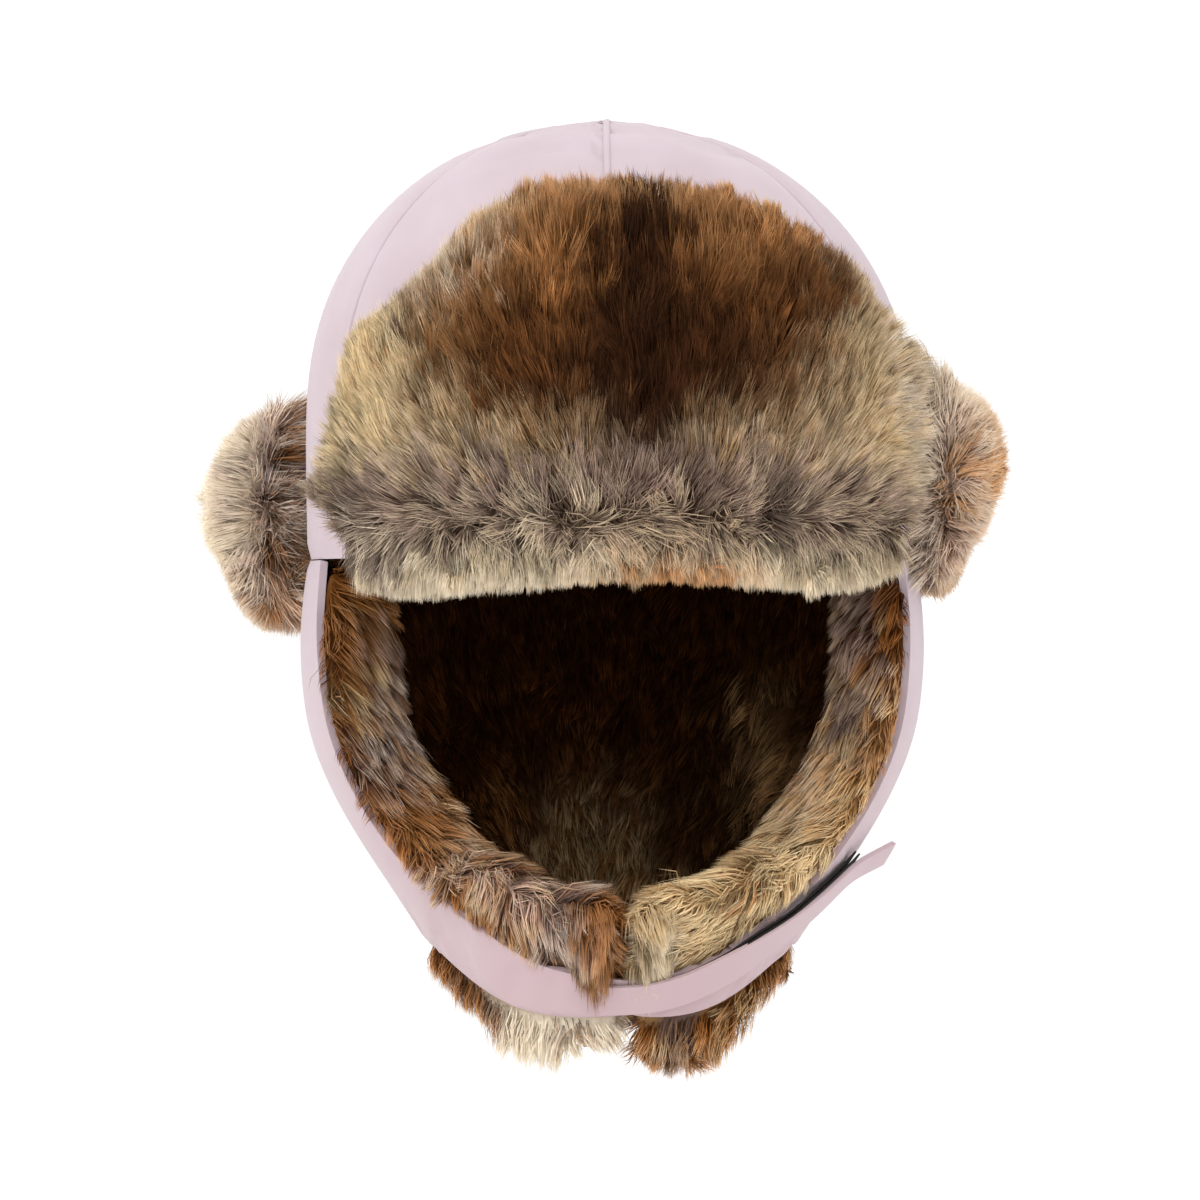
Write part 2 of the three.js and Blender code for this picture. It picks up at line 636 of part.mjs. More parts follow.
function cuffFur() {
  const under = CUFF_CLOTH / 2 + FOLD_GAP;
  const lead = CUFF_LEAD / (360 - CUFF_LEFT_ANGLE - CUFF_RIGHT_ANGLE);
  const spot = (share, along, depth) => {
    const round = share + (share < 0.01 ? -lead : 0) + (share > 0.99 ? lead : 0);
    const at = lerp(1 - CUFF_FUR_ROWS / CUFF_ROWS, 1, along);
    const { angle, level, offset } = cuffSpot(round, at, under + depth);
    return place(angle, level, offset);
  };
  const pile = (round, along) =>
    CUFF_PILE * follow(CUFF_ROUND, "round", "pile", round) * follow(CUFF_DEPTH, "along", "depth", along);
  const backing = wall(CUFF_COLUMNS, CUFF_FUR_ROWS, (round, along, face) =>
    spot(round, along, face ? pile(round, along) : 0),
  );
  const locks = CUFF_LOCKS.flatMap((row, number) =>
    lockRow(row, (round, i) => {
      const from = Math.max(pile(round, row.root) - LOCK_ROOT, LOCK_SEAT * LOCK_DEPTH);
      const root = spot(round, row.root, from);
      const tip = spot(round, row.tip, pile(round, row.tip) + LOCK_REACH * row.out);
      tip.z += LOCK_REACH * (row.rise + row.spread * vary(i + 70));
      const angle = lerp(CUFF_RIGHT_ANGLE, 360 - CUFF_LEFT_ANGLE, round);
      const size = CUFF_LOCK_SIZE + LOCK_UNEVEN * vary(i + 30 * number);
      return lock(root, tip, outward(angle, 0), size);
    }),
  );
  return furred(backing, locks);
}

// A flat band that follows the strap's run over the hood, between two heights above its surface. Shift
// is how far the band lies above the middle of the run.
function band(from, to, width, shift, low, high, columns) {
  const centre = (at) => {
    const angle = REAR_SEAM_ANGLE * follow(STRAP_RUN, "along", "turn", at);
    const level = -HOOD_DROP * follow(STRAP_RUN, "along", "down", at);
    return { angle, level };
  };
  return wall(columns, 2, (share, across, face) => {
    const at = lerp(from, to, share);
    const { angle, level } = centre(at);
    const before = centre(at - 0.01);
    const after = centre(at + 0.01);
    const run = onSurface(after.angle, after.level).sub(onSurface(before.angle, before.level));
    const side = outward(angle, level).cross(run).normalize();
    const aside = shift + (across - 0.5) * width;
    const round = onSurface(angle + 1, level).sub(onSurface(angle, level));
    const rise = onSurface(angle, level + 1).sub(onSurface(angle, level));
    return place(
      angle + (aside * side.dot(round)) / round.lengthSq(),
      level + (aside * side.dot(rise)) / rise.lengthSq(),
      face ? high(at) : low(at),
    );
  });
}

const TAPES_HEIGHT = 2 * (TAPE + TAPE_GAP);
const strapLift = (at) => TAPE_GAP + TAPES_HEIGHT * follow(STRAP_RUN, "along", "lift", at);

function strap() {
  return band(0, 1, STRAP_WIDTH, 0, strapLift, (at) => strapLift(at) + STRAP_CLOTH, STRAP_STEPS);
}

function tape(layer) {
  const low = TAPE_GAP + layer * (TAPE + TAPE_GAP);
  const shift = (STRAP_WIDTH - TAPE_WIDTH) / 2 + TAPE_SHOW;
  return band(TAPE_FROM, TAPE_TO, TAPE_WIDTH, shift, () => low, () => low + TAPE, TAPE_STEPS);
}

function finish(color, roughness) {
  return new THREE.MeshStandardMaterial({ color, roughness, metalness: 0 });
}

const cloth = finish(PINK, 0.75);
const darkFur = finish(FUR_BROWN, 1);
const lightFur = finish(FUR_TAN, 1);
const liningCloth = finish(LINING_BROWN, 0.9);
const tapeCloth = finish(TAPE_BLACK, 0.95);

const hat = new THREE.Group();

function piece(name, solid, material) {
  const { vertProperties, triVerts } = solid.getMesh();
  const geometry = new THREE.BufferGeometry();
  geometry.setAttribute("position", new THREE.BufferAttribute(vertProperties, 3));
  geometry.setIndex(new THREE.BufferAttribute(triVerts, 1));
  geometry.computeVertexNormals();
  const mesh = new THREE.Mesh(geometry, material);
  mesh.name = name;
  hat.add(mesh);
}

for (let i = 0; i < GORES; i += 1) piece(`crown_gore_${i + 1}`, gore(i), cloth);
piece("crown_lining", crownLining(), liningCloth);
piece("ear_flap_left", earFlap(-1), cloth);
piece("ear_flap_right", earFlap(1), cloth);
piece("nape_panel", napePanel(), cloth);
piece("ear_flap_fur_left", earFlapFur(-1), darkFur);
piece("ear_flap_fur_right", earFlapFur(1), darkFur);
piece("nape_fur", napeFur(), lightFur);
piece("front_flap", frontFlap(), darkFur);
piece("cuff", cuffCloth(), cloth);
piece("cuff_fur", cuffFur(), lightFur);
piece("chin_strap", strap(), cloth);
piece("loop_tape", tape(0), tapeCloth);
piece("hook_tape", tape(1), tapeCloth);

export default hat;
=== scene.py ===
# %% [markdown]
# # A winter trapper hat
# Six padded gores make the pink crown. Deep faux fur covers the turned-up front flap and the cuff round
# the sides and back, and lines the ear flaps that close under the chin with a strap.
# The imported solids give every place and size. This script dresses them: padded cloth is simulated, and
# fur is grown as separate hairs. Lengths are metres, and MM turns millimetres into them.

# %% Load the frame
import json
import math
import bpy
import numpy as np
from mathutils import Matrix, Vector
from mathutils.bvhtree import BVHTree
from mathutils.kdtree import KDTree

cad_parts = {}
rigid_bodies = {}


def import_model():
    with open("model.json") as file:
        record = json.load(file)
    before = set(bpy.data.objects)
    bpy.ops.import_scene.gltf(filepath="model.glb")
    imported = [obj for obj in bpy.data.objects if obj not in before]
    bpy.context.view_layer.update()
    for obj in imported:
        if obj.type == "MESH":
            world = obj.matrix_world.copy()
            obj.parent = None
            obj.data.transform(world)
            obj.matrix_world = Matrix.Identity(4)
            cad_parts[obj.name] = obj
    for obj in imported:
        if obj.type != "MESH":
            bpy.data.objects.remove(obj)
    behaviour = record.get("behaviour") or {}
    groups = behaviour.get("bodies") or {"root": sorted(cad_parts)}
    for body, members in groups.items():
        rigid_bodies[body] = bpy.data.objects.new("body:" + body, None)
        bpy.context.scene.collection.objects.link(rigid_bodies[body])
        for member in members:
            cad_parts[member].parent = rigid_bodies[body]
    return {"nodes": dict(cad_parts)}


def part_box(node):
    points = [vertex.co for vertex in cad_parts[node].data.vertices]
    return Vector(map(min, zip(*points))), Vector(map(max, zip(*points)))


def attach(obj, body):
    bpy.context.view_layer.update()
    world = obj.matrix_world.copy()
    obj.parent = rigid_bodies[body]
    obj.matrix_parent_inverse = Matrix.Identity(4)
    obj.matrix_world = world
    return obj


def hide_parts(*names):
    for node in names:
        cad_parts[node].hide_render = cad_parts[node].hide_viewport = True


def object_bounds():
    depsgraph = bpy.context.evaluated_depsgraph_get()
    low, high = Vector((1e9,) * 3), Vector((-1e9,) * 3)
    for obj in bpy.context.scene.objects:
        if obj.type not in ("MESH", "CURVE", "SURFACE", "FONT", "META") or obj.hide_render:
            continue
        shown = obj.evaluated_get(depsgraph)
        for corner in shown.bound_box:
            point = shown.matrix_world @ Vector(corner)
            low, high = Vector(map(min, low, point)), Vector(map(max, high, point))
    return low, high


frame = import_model()
cad_low, cad_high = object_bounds()
MM = 0.001
print("nodes", len(frame["nodes"]), "box in mm", [round(side / MM) for side in cad_high - cad_low])

# %% [markdown]
# ## Camera, light and floor
# A product photo of a hat is taken level with it, from far enough away that the shape isn't stretched.
# A long lens 1.4 m away does the same. The middle of the picture lies a little left of and below the
# middle of the crown's edge, so the camera stands there and looks straight along +Y.

# %% Camera
PICTURE_WIDTH = 387.1 * MM
CAMERA_DISTANCE = 1.4
CAMERA_SIDE = -3.9 * MM
CAMERA_HEIGHT = -12.9 * MM

camera_data = bpy.data.cameras.new("camera")
camera = bpy.data.objects.new("camera", camera_data)
bpy.context.scene.collection.objects.link(camera)
camera.location = (CAMERA_SIDE, -CAMERA_DISTANCE, CAMERA_HEIGHT)
camera.rotation_euler = (math.pi / 2, 0, 0)
camera_data.sensor_width = 36
camera_data.lens = camera_data.sensor_width * CAMERA_DISTANCE / PICTURE_WIDTH
camera_data.clip_end = 100
bpy.context.scene.camera = camera
print("lens", round(camera_data.lens, 1), "mm")

# %% [markdown]
# The studio is a white room: light comes softly from all round. A large panel at the upper left gives
# the crown and the fur their modelling, and a weak one at the right softens its shadows. The floor is
# pale and wide enough that its edge never shows. Colours are shown as they are, without a film curve,
# so that white stays white.

# %% Light and floor
ROOM_LIGHT = 1.08
PANEL_POWER = 7
RIGHT_PANEL_SHARE = 0.2
PANEL_SIZE = 0.9
FLOOR_DROP = 0.1
FLOOR_SIZE = 60
FLOOR_PAINT = (0.95, 0.95, 0.95, 1)


def linear(red, green, blue):
    """A colour picked as 0 to 255 on a screen, as the linear red, green and blue that shaders use."""
    shares = [value / 255 for value in (red, green, blue)]
    return tuple(s / 12.92 if s <= 0.04045 else ((s + 0.055) / 1.055) ** 2.4 for s in shares)


def select_only(*pieces):
    """Selects these objects alone, because an operator acts on all that is selected."""
    bpy.ops.object.select_all(action="DESELECT")
    for piece in pieces:
        piece.select_set(True)
    bpy.context.view_layer.objects.active = pieces[0]


world = bpy.data.worlds.new("room")
bpy.context.scene.world = world
world.use_nodes = True
world.node_tree.nodes["Background"].inputs["Color"].default_value = (1, 1, 1, 1)
world.node_tree.nodes["Background"].inputs["Strength"].default_value = ROOM_LIGHT

for name, place, power in (
    ("panel_left", (-0.85, -0.9, 1.1), PANEL_POWER),
    ("panel_right", (0.95, -0.9, 0.7), PANEL_POWER * RIGHT_PANEL_SHARE),
):
    panel_data = bpy.data.lights.new(name, "AREA")
    panel_data.shape = "DISK"
    panel_data.size = PANEL_SIZE
    panel_data.energy = power
    panel = bpy.data.objects.new(name, panel_data)
    bpy.context.scene.collection.objects.link(panel)
    panel.location = place
    panel.rotation_euler = (-Vector(place)).to_track_quat("-Z", "Y").to_euler()

bpy.ops.object.select_all(action="DESELECT")
bpy.ops.mesh.primitive_plane_add(size=FLOOR_SIZE, location=(0, 0, cad_low.z - FLOOR_DROP))
floor = bpy.context.object
floor.name = "floor"
pale = bpy.data.materials.new("pale_floor")
pale.use_nodes = True
pale.node_tree.nodes["Principled BSDF"].inputs["Base Color"].default_value = FLOOR_PAINT
pale.node_tree.nodes["Principled BSDF"].inputs["Roughness"].default_value = 0.9
floor.data.materials.append(pale)
bpy.context.scene.view_settings.view_transform = "Standard"
print("floor", round(floor.location.z / MM), "mm below the crown's edge")

# %% [markdown]
# ## Working on copies
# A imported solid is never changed. A piece starts as a copy of it: its loose triangles are merged by
# distance, and pairs of them are joined into quads, which take a subdivision surface smoothly.

# %% Helpers for meshes
MERGE = 0.01 * MM
QUAD_FOLD = math.radians(50)
QUAD_SHAPE = math.radians(70)
SHARP = math.radians(50)
bpy.context.tool_settings.mesh_select_mode = (False, False, True)


def copy_of(node, name):
    """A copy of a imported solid, merged, with its triangles joined into quads where they can be."""
    piece = bpy.data.objects.new(name, frame["nodes"][node].data.copy())
    bpy.context.scene.collection.objects.link(piece)
    select_only(piece)
    piece.data.materials.clear()
    bpy.ops.mesh.customdata_custom_splitnormals_clear()
    bpy.ops.object.mode_set(mode="EDIT")
    bpy.ops.mesh.select_all(action="SELECT")
    bpy.ops.mesh.remove_doubles(threshold=MERGE)
    bpy.ops.mesh.tris_convert_to_quads(face_threshold=QUAD_FOLD, shape_threshold=QUAD_SHAPE)
    bpy.ops.object.mode_set(mode="OBJECT")
    return piece


def points_of(piece):
    """The places of a mesh's vertices as an array."""
    points = np.empty(3 * len(piece.data.vertices))
    piece.data.vertices.foreach_get("co", points)
    return points.reshape(-1, 3)


def normals_of(piece):
    """The directions in which a mesh's vertices face."""
    normals = np.empty(3 * len(piece.data.vertices))
    piece.data.vertices.foreach_get("normal", normals)
    return normals.reshape(-1, 3)


def set_points(piece, points):
    """Moves a mesh's vertices."""
    piece.data.vertices.foreach_set("co", points.ravel())
    piece.data.update()


def apply_all(piece):
    """Applies a piece's modifiers in order."""
    select_only(piece)
    for modifier in list(piece.modifiers):
        bpy.ops.object.modifier_apply(modifier=modifier.name)


def round_off(piece, levels):
    """Adds a subdivision surface with as many levels in the render as in the viewport."""
    surface = piece.modifiers.new("smooth", "SUBSURF")
    surface.levels = surface.render_levels = levels
    return surface


def unit(vectors):
    """The same directions with length one."""
    return vectors / np.maximum(np.linalg.norm(vectors, axis=-1, keepdims=True), 1e-9)


def tree_of(*pieces):
    """A search tree over the surfaces of some meshes."""
    points, faces = [], []
    for piece in pieces:
        faces += [[len(points) + number for number in face.vertices] for face in piece.data.polygons]
        points += [vertex.co for vertex in piece.data.vertices]
    return BVHTree.FromPolygons(points, faces)


# %% [markdown]
# ## Pink shell cloth
# The shell is a fine, tight weave with a dull surface. Up close its threads cross at right angles, so
# two sets of fine waves make the bump. They could read the object's own coordinates, but on the crown's
# slopes the threads would stretch. Each cloth piece carries a map in millimetres along its surface.
# Low on the hat the pink is painted a little darker and deeper, as painted shade.

# %% Cloth material
PINK = linear(200, 183, 190)
PINK_SHADE = linear(193, 174, 181)
# Painted shade for the lower part of the hat, between these two heights.
PINK_LOW_PAINTED_SHADE = linear(196, 170, 174)
PAINTED_SHADE_FROM = -20 * MM
PAINTED_SHADE_TO = -130 * MM
THREAD = 0.45
WAVE_REPEAT = 0.314      # a wave texture of scale 1 repeats after this length
MOTTLE_SCALE = 28
WEAVE_DEPTH = 0.12 * MM
CREASE_DEPTH = 1.2 * MM
MAP_RADIUS = 95          # in the map's millimetres, about the crown's own radius


def new_material(name):
    """A node material, with its nodes, its links and its shader."""
    material = bpy.data.materials.new(name)
    material.use_nodes = True
    tree = material.node_tree
    return material, tree.nodes, tree.links, tree.nodes["Principled BSDF"]


def pink_material():
    """Fine-woven shell cloth: crossing threads, soft mottling and a little sheen."""
    material, nodes, links, shader = new_material("pink_shell_cloth")
    where = nodes.new("ShaderNodeUVMap")
    where.uv_map = "cloth"
    waves = []
    for direction in ("X", "Y"):
        wave = nodes.new("ShaderNodeTexWave")
        wave.bands_direction = direction
        wave.inputs["Scale"].default_value = WAVE_REPEAT / THREAD
        wave.inputs["Distortion"].default_value = 0.6
        wave.inputs["Detail"].default_value = 1
        links.new(where.outputs["UV"], wave.inputs["Vector"])
        waves.append(wave)
    weave = nodes.new("ShaderNodeMath")
    weave.operation = "MULTIPLY"
    links.new(waves[0].outputs["Fac"], weave.inputs[0])
    links.new(waves[1].outputs["Fac"], weave.inputs[1])
    place = nodes.new("ShaderNodeTexCoord")
    mottle = nodes.new("ShaderNodeTexNoise")
    mottle.inputs["Scale"].default_value = MOTTLE_SCALE
    mottle.inputs["Detail"].default_value = 4
    links.new(place.outputs["Object"], mottle.inputs["Vector"])
    ramp = nodes.new("ShaderNodeValToRGB")
    ramp.color_ramp.elements[0].position = 0.3
    ramp.color_ramp.elements[0].color = (*PINK_SHADE, 1)
    ramp.color_ramp.elements[1].position = 0.62
    ramp.color_ramp.elements[1].color = (*PINK, 1)
    links.new(mottle.outputs["Fac"], ramp.inputs["Fac"])
    # Painted shade: between these heights the pink turns darker towards the bottom of the hat.
    height = nodes.new("ShaderNodeSeparateXYZ")
    links.new(place.outputs["Object"], height.inputs["Vector"])
    low = nodes.new("ShaderNodeMapRange")
    low.inputs["From Min"].default_value = PAINTED_SHADE_FROM
    low.inputs["From Max"].default_value = PAINTED_SHADE_TO
    links.new(height.outputs["Z"], low.inputs["Value"])
    painted_low_shade = nodes.new("ShaderNodeMix")
    painted_low_shade.data_type = "RGBA"
    painted_low_shade.inputs["B"].default_value = (*PINK_LOW_PAINTED_SHADE, 1)
    links.new(low.outputs["Result"], painted_low_shade.inputs["Factor"])
    links.new(ramp.outputs["Color"], painted_low_shade.inputs["A"])
    links.new(painted_low_shade.outputs["Result"], shader.inputs["Base Color"])
    bump = nodes.new("ShaderNodeBump")
    bump.inputs["Strength"].default_value = 0.25
    bump.inputs["Distance"].default_value = WEAVE_DEPTH
    links.new(weave.outputs["Value"], bump.inputs["Height"])
    crease = nodes.new("ShaderNodeBump")
    crease.inputs["Strength"].default_value = 0.35
    crease.inputs["Distance"].default_value = CREASE_DEPTH
    links.new(mottle.outputs["Fac"], crease.inputs["Height"])
    links.new(bump.outputs["Normal"], crease.inputs["Normal"])
    links.new(crease.outputs["Normal"], shader.inputs["Normal"])
    shader.inputs["Roughness"].default_value = 0.72
    shader.inputs["Specular IOR Level"].default_value = 0.3
    shader.inputs["Sheen Weight"].default_value = 0.25
    shader.inputs["Sheen Roughness"].default_value = 0.5
    return material


pink = pink_material()


def map_cloth(piece):
    """Gives a piece a map in millimetres: round the hat across, and up the cloth along."""
    points = points_of(piece) / MM
    turn = np.arctan2(points[:, 0], -points[:, 1])
    middle = math.atan2(np.sin(turn).mean(), np.cos(turn).mean())
    turn = (turn - middle + math.pi) % (2 * math.pi) - math.pi
    reach = np.hypot(points[:, 0], points[:, 1])
    along = MAP_RADIUS * np.arctan2(np.maximum(points[:, 2], 0), reach) + np.minimum(points[:, 2], 0)
    layer = piece.data.uv_layers.new(name="cloth")
    corners = np.empty(len(piece.data.loops), np.int32)
    piece.data.loops.foreach_get("vertex_index", corners)
    flat = np.stack([turn * reach, along], axis=1)[corners]
    layer.data.foreach_set("uv", flat.ravel())


# %% [markdown]
# ## Padded gores
# A gore is cut from flat cloth and sewn to its neighbours, and the wadding behind it pushes it out
# between the seams. So only its outer face is kept, as a sheet, its edges are pinned where the seams
# hold them, and a cloth simulation lets a little spare cloth swell and pucker. A wall's thickness is
# put back afterwards. Sculpting the puckers by hand would be slower and look less even.

# %% Padded cloth
SMOOTH_LEVELS = 2
SPARE_CLOTH = 0.02
SIM_FRAMES = 20
OUTER_FACE = 0.5


def keep_outer_face(piece, middle):
    """Deletes a wall's inner face and rims. middle(point) is the point that the outside faces away from."""
    for face in piece.data.polygons:
        centre = face.center
        outward = (centre - middle(centre)).normalized()
        face.select = face.normal.dot(outward) < OUTER_FACE
    select_only(piece)
    bpy.ops.object.mode_set(mode="EDIT")
    bpy.ops.mesh.delete(type="FACE")
    bpy.ops.object.mode_set(mode="OBJECT")


def edge_counts(piece):
    """How many faces meet at each edge, which is one at a sheet's open edge."""
    counts = {}
    for face in piece.data.polygons:
        for key in face.edge_keys:
            counts[key] = counts.get(key, 0) + 1
    return counts


def edge_numbers(piece):
    """The vertices on the open edge of a sheet."""
    return sorted({number for key, count in edge_counts(piece).items() if count == 1 for number in key})


def swell(piece, pressure, cap):
    """Lets a sheet swell between its pinned edges, and caps how far it moves."""
    pins = piece.vertex_groups.new(name="pins")
    pins.add(edge_numbers(piece), 1, "REPLACE")
    start = points_of(piece)
    cloth = piece.modifiers.new("cloth", "CLOTH")
    settings = cloth.settings
    settings.quality = 4
    settings.mass = 0.2
    settings.tension_stiffness = settings.compression_stiffness = 12
    settings.shear_stiffness = 4
    settings.bending_stiffness = 0.4
    settings.vertex_group_mass = "pins"
    settings.shrink_min = -SPARE_CLOTH
    settings.use_pressure = True
    settings.uniform_pressure_force = pressure
    settings.effector_weights.gravity = 0
    cloth.collision_settings.use_collision = False
    cloth.point_cache.frame_start = 1
    cloth.point_cache.frame_end = SIM_FRAMES
    for number in range(1, SIM_FRAMES + 1):
        bpy.context.scene.frame_set(number)
    select_only(piece)
    bpy.ops.object.modifier_apply(modifier="cloth")
    bpy.context.scene.frame_set(1)
    moved = points_of(piece) - start
    reach = np.linalg.norm(moved, axis=1, keepdims=True)
    moved *= cap * np.tanh(reach / cap) / np.maximum(reach, 1e-9)
    set_points(piece, start + moved)
    print(piece.name, "swelled", round(float(reach.max()) / MM, 2), "mm, capped at", cap / MM)


def smooth_sheet(piece, levels):
    """Rounds off a sheet's facets with a subdivision surface."""
    round_off(piece, levels).boundary_smooth = "PRESERVE_CORNERS"
    apply_all(piece)


def give_thickness(piece, thickness):
    """Turns a sheet into a wall that keeps its outer face, shaded smooth except at sharp edges."""
    wall = piece.modifiers.new("wall", "SOLIDIFY")
    wall.thickness = thickness
    wall.offset = -1
    apply_all(piece)
    piece.data.shade_smooth()
    select_only(piece)
    bpy.ops.object.shade_smooth_by_angle(angle=SHARP)


def dress(piece, material, slot, *nodes):
    """Gives a finished piece its material, hangs it on the root body and hides the imported solids it
    stands for.
    """
    piece.data.materials.clear()
    piece.data.materials.append(material)
    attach(piece, "root")
    if nodes:
        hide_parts(*nodes)


# %% [markdown]
# Each seam of the crown shows as a slim rounded ridge, because the cloth turns in there and its seam
# allowance fills it out. It could be sculpted into the gores, but it has to follow their sewn edges
# exactly, so those edges are copied off and given a round section. The front one stands out most.

# %% Crown seams
FRONT_RIDGE = 1.2 * MM
SIDE_RIDGE = 0.8 * MM
HEM_BAND = 1 * MM


def seam_ridge(panel, name, radius):
    """A round ridge along the sewn edge on the side of a panel where the turn round the hat is less."""
    points = points_of(panel)
    middle = points.mean(axis=0)
    left = middle[0] * points[:, 1] - middle[1] * points[:, 0] < 0
    sewn = left & (points[:, 2] > points[:, 2].min() + HEM_BAND)
    counts = edge_counts(panel)
    for edge in panel.data.edges:
        first, second = edge.vertices
        edge.select = counts[edge.key] == 1 and bool(sewn[first] and sewn[second])
    select_only(panel)
    bpy.context.tool_settings.mesh_select_mode = (False, True, False)
    bpy.ops.object.mode_set(mode="EDIT")
    bpy.ops.mesh.duplicate()
    bpy.ops.mesh.separate(type="SELECTED")
    bpy.ops.object.mode_set(mode="OBJECT")
    bpy.context.tool_settings.mesh_select_mode = (False, False, True)
    ridge = next(piece for piece in bpy.context.selected_objects if piece is not panel)
    ridge.name = name
    select_only(ridge)
    bpy.ops.object.convert(target="CURVE")
    ridge = bpy.context.object
    ridge.data.bevel_depth = radius
    ridge.data.bevel_resolution = 3
    ridge.data.use_fill_caps = True
    bpy.ops.object.convert(target="MESH")
    ridge = bpy.context.object
    ridge.data.shade_smooth()
    return ridge


# %% [markdown]
# Each gore is cut down to its outer face, swelled and given its wall again. Its ridge is taken off while
# it is still a sheet, because its sewn edges are open then and can be found.

# %% Crown gores
GORES = 6
GORE_WALL = 2.3 * MM
CROWN_MIDDLE = Vector((0, 0, 20 * MM))

for number in range(1, GORES + 1):
    gore = copy_of(f"crown_gore_{number}", f"crown_panel_{number}")
    keep_outer_face(gore, lambda point: CROWN_MIDDLE)
    smooth_sheet(gore, SMOOTH_LEVELS)
    swell(gore, pressure=1.5, cap=1.3 * MM)
    ridge = seam_ridge(gore, f"crown_seam_{number}", FRONT_RIDGE if number == 1 else SIDE_RIDGE)
    map_cloth(ridge)
    dress(ridge, pink, "pink_cloth")
    give_thickness(gore, GORE_WALL)
    map_cloth(gore)
    dress(gore, pink, "pink_cloth", f"crown_gore_{number}")
print("crown panels", GORES, "with", len(gore.data.polygons), "faces each")
print("crown seams", GORES, "with", len(ridge.data.polygons), "faces each")

# %% [markdown]
# ## Ear flaps and nape panel
# These are padded walls too, but they hang free at their lower edge, so they swell less. Their outside
# faces away from the hat's upright axis.

# %% Hood panels
HOOD_WALL = 2.4 * MM

for node in ("ear_flap_left", "ear_flap_right", "nape_panel"):
    panel = copy_of(node, f"{node}_shell")
    keep_outer_face(panel, lambda point: Vector((0, 0, point.z)))
    smooth_sheet(panel, SMOOTH_LEVELS)
    swell(panel, pressure=0.6, cap=0.8 * MM)
    give_thickness(panel, HOOD_WALL)
    map_cloth(panel)
    dress(panel, pink, "pink_cloth", node)
    print(panel.name, len(panel.data.polygons), "faces")

# %% [markdown]
# ## Cuff cloth
# The cuff stands off the crown and is seen from both sides, so it keeps its whole wall. A subdivision
# surface rounds it, and no cloth is simulated on it.

# %% Cuff cloth
cuff = copy_of("cuff", "cuff_shell")
round_off(cuff, SMOOTH_LEVELS)
apply_all(cuff)
cuff.data.shade_smooth()
map_cloth(cuff)
dress(cuff, pink, "pink_cloth", "cuff")
print(cuff.name, len(cuff.data.polygons), "faces")

# %% [markdown]
# ## Strap and tapes
# The strap is a flat band of the same cloth, and the tapes under it show as a dark line along its upper
# edge. That line is thin, so each tape's upper edge is first brought down. All three bands are bevelled
# and subdivided, so that their edges are soft.

# %% Strap and tapes
TAPE_BLACK = linear(24, 18, 17)


def tape_material():
    """Hook-and-loop tape: near black, rough and bristly."""
    material, nodes, links, shader = new_material("black_hook_and_loop")
    place = nodes.new("ShaderNodeTexCoord")
    bristle = nodes.new("ShaderNodeTexNoise")
    bristle.inputs["Scale"].default_value = 1500
    links.new(place.outputs["Object"], bristle.inputs["Vector"])
    bump = nodes.new("ShaderNodeBump")
    bump.inputs["Distance"].default_value = 0.3 * MM
    links.new(bristle.outputs["Fac"], bump.inputs["Height"])
    links.new(bump.outputs["Normal"], shader.inputs["Normal"])
    shader.inputs["Base Color"].default_value = (*TAPE_BLACK, 1)
    shader.inputs["Roughness"].default_value = 0.9
    return material


# The strap rises to the right. These point along it and across it in the front view.
STRAP_ALONG = np.array([0.888, 0, 0.46])
STRAP_UP = np.array([-0.46, 0, 0.888])
TAPE_SHARE = 0.62
TAPE_STEPS = 24


def narrow(piece, share):
    """Brings a tape's upper edge down, so that this share of its width is left above the strap."""
    points = points_of(piece)
    along, up = points @ STRAP_ALONG, points @ STRAP_UP
    steps = np.linspace(along.min(), along.max(), TAPE_STEPS + 1)
    number = np.clip(np.searchsorted(steps, along, side="right") - 1, 0, TAPE_STEPS - 1)
    used = [step for step in range(TAPE_STEPS) if (number == step).any()]
    middles = [(steps[step] + steps[step + 1]) / 2 for step in used]
    lowest = np.interp(along, middles, [up[number == step].min() for step in used])
    set_points(piece, points - ((up - lowest) * (1 - share))[:, None] * STRAP_UP)


tape_black = tape_material()
for node, name, material, slot in (
    ("chin_strap", "chin_strap_band", pink, "pink_cloth"),
    ("loop_tape", "loop_tape_strip", tape_black, "black_tape"),
    ("hook_tape", "hook_tape_strip", tape_black, "black_tape"),
):
    band = copy_of(node, name)
    if material is tape_black:
        narrow(band, TAPE_SHARE)
    edge = band.modifiers.new("edge", "BEVEL")
    edge.width = 0.3 * MM
    edge.segments = 2
    edge.angle_limit = SHARP
    round_off(band, SMOOTH_LEVELS)
    apply_all(band)
    band.data.shade_smooth()
    map_cloth(band)
    dress(band, material, slot, node)
    print(band.name, len(band.data.polygons), "faces")

# %% [markdown]
# ## Fur
# Faux fur is a knitted backing with a dense, dark undercoat and longer guard hairs, whose tips gather
# into soft locks. Hair curves would be lost in the exported model, so each hair is a thin tapering
# ribbon of real mesh, made from arrays, because nobody could model that many by hand. The undercoat is a
# rounded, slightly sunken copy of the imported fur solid, and on the flap and the cuff it is first brought
# to the fur's outline. Roots are scattered on it, and each hair is combed, drawn towards its lock and cut
# where it would stand out of the form.

# %% Undercoat
UNDERCOAT_VOXEL = 3 * MM
UNDERCOAT_RELAX = 22
UNDERCOAT_REACH = 12 * MM


def keep_largest(piece):
    """Deletes the loose bits that smoothing has left of thin locks, and keeps the largest part."""
    select_only(piece)
    bpy.ops.object.mode_set(mode="EDIT")
    bpy.ops.mesh.select_all(action="SELECT")
    bpy.ops.mesh.separate(type="LOOSE")
    bpy.ops.object.mode_set(mode="OBJECT")
    parts = sorted(bpy.context.selected_objects, key=lambda part: len(part.data.vertices))
    body = parts.pop()
    piece.data = body.data
    for part in parts + [body]:
        if part is not piece:
            bpy.data.objects.remove(part)


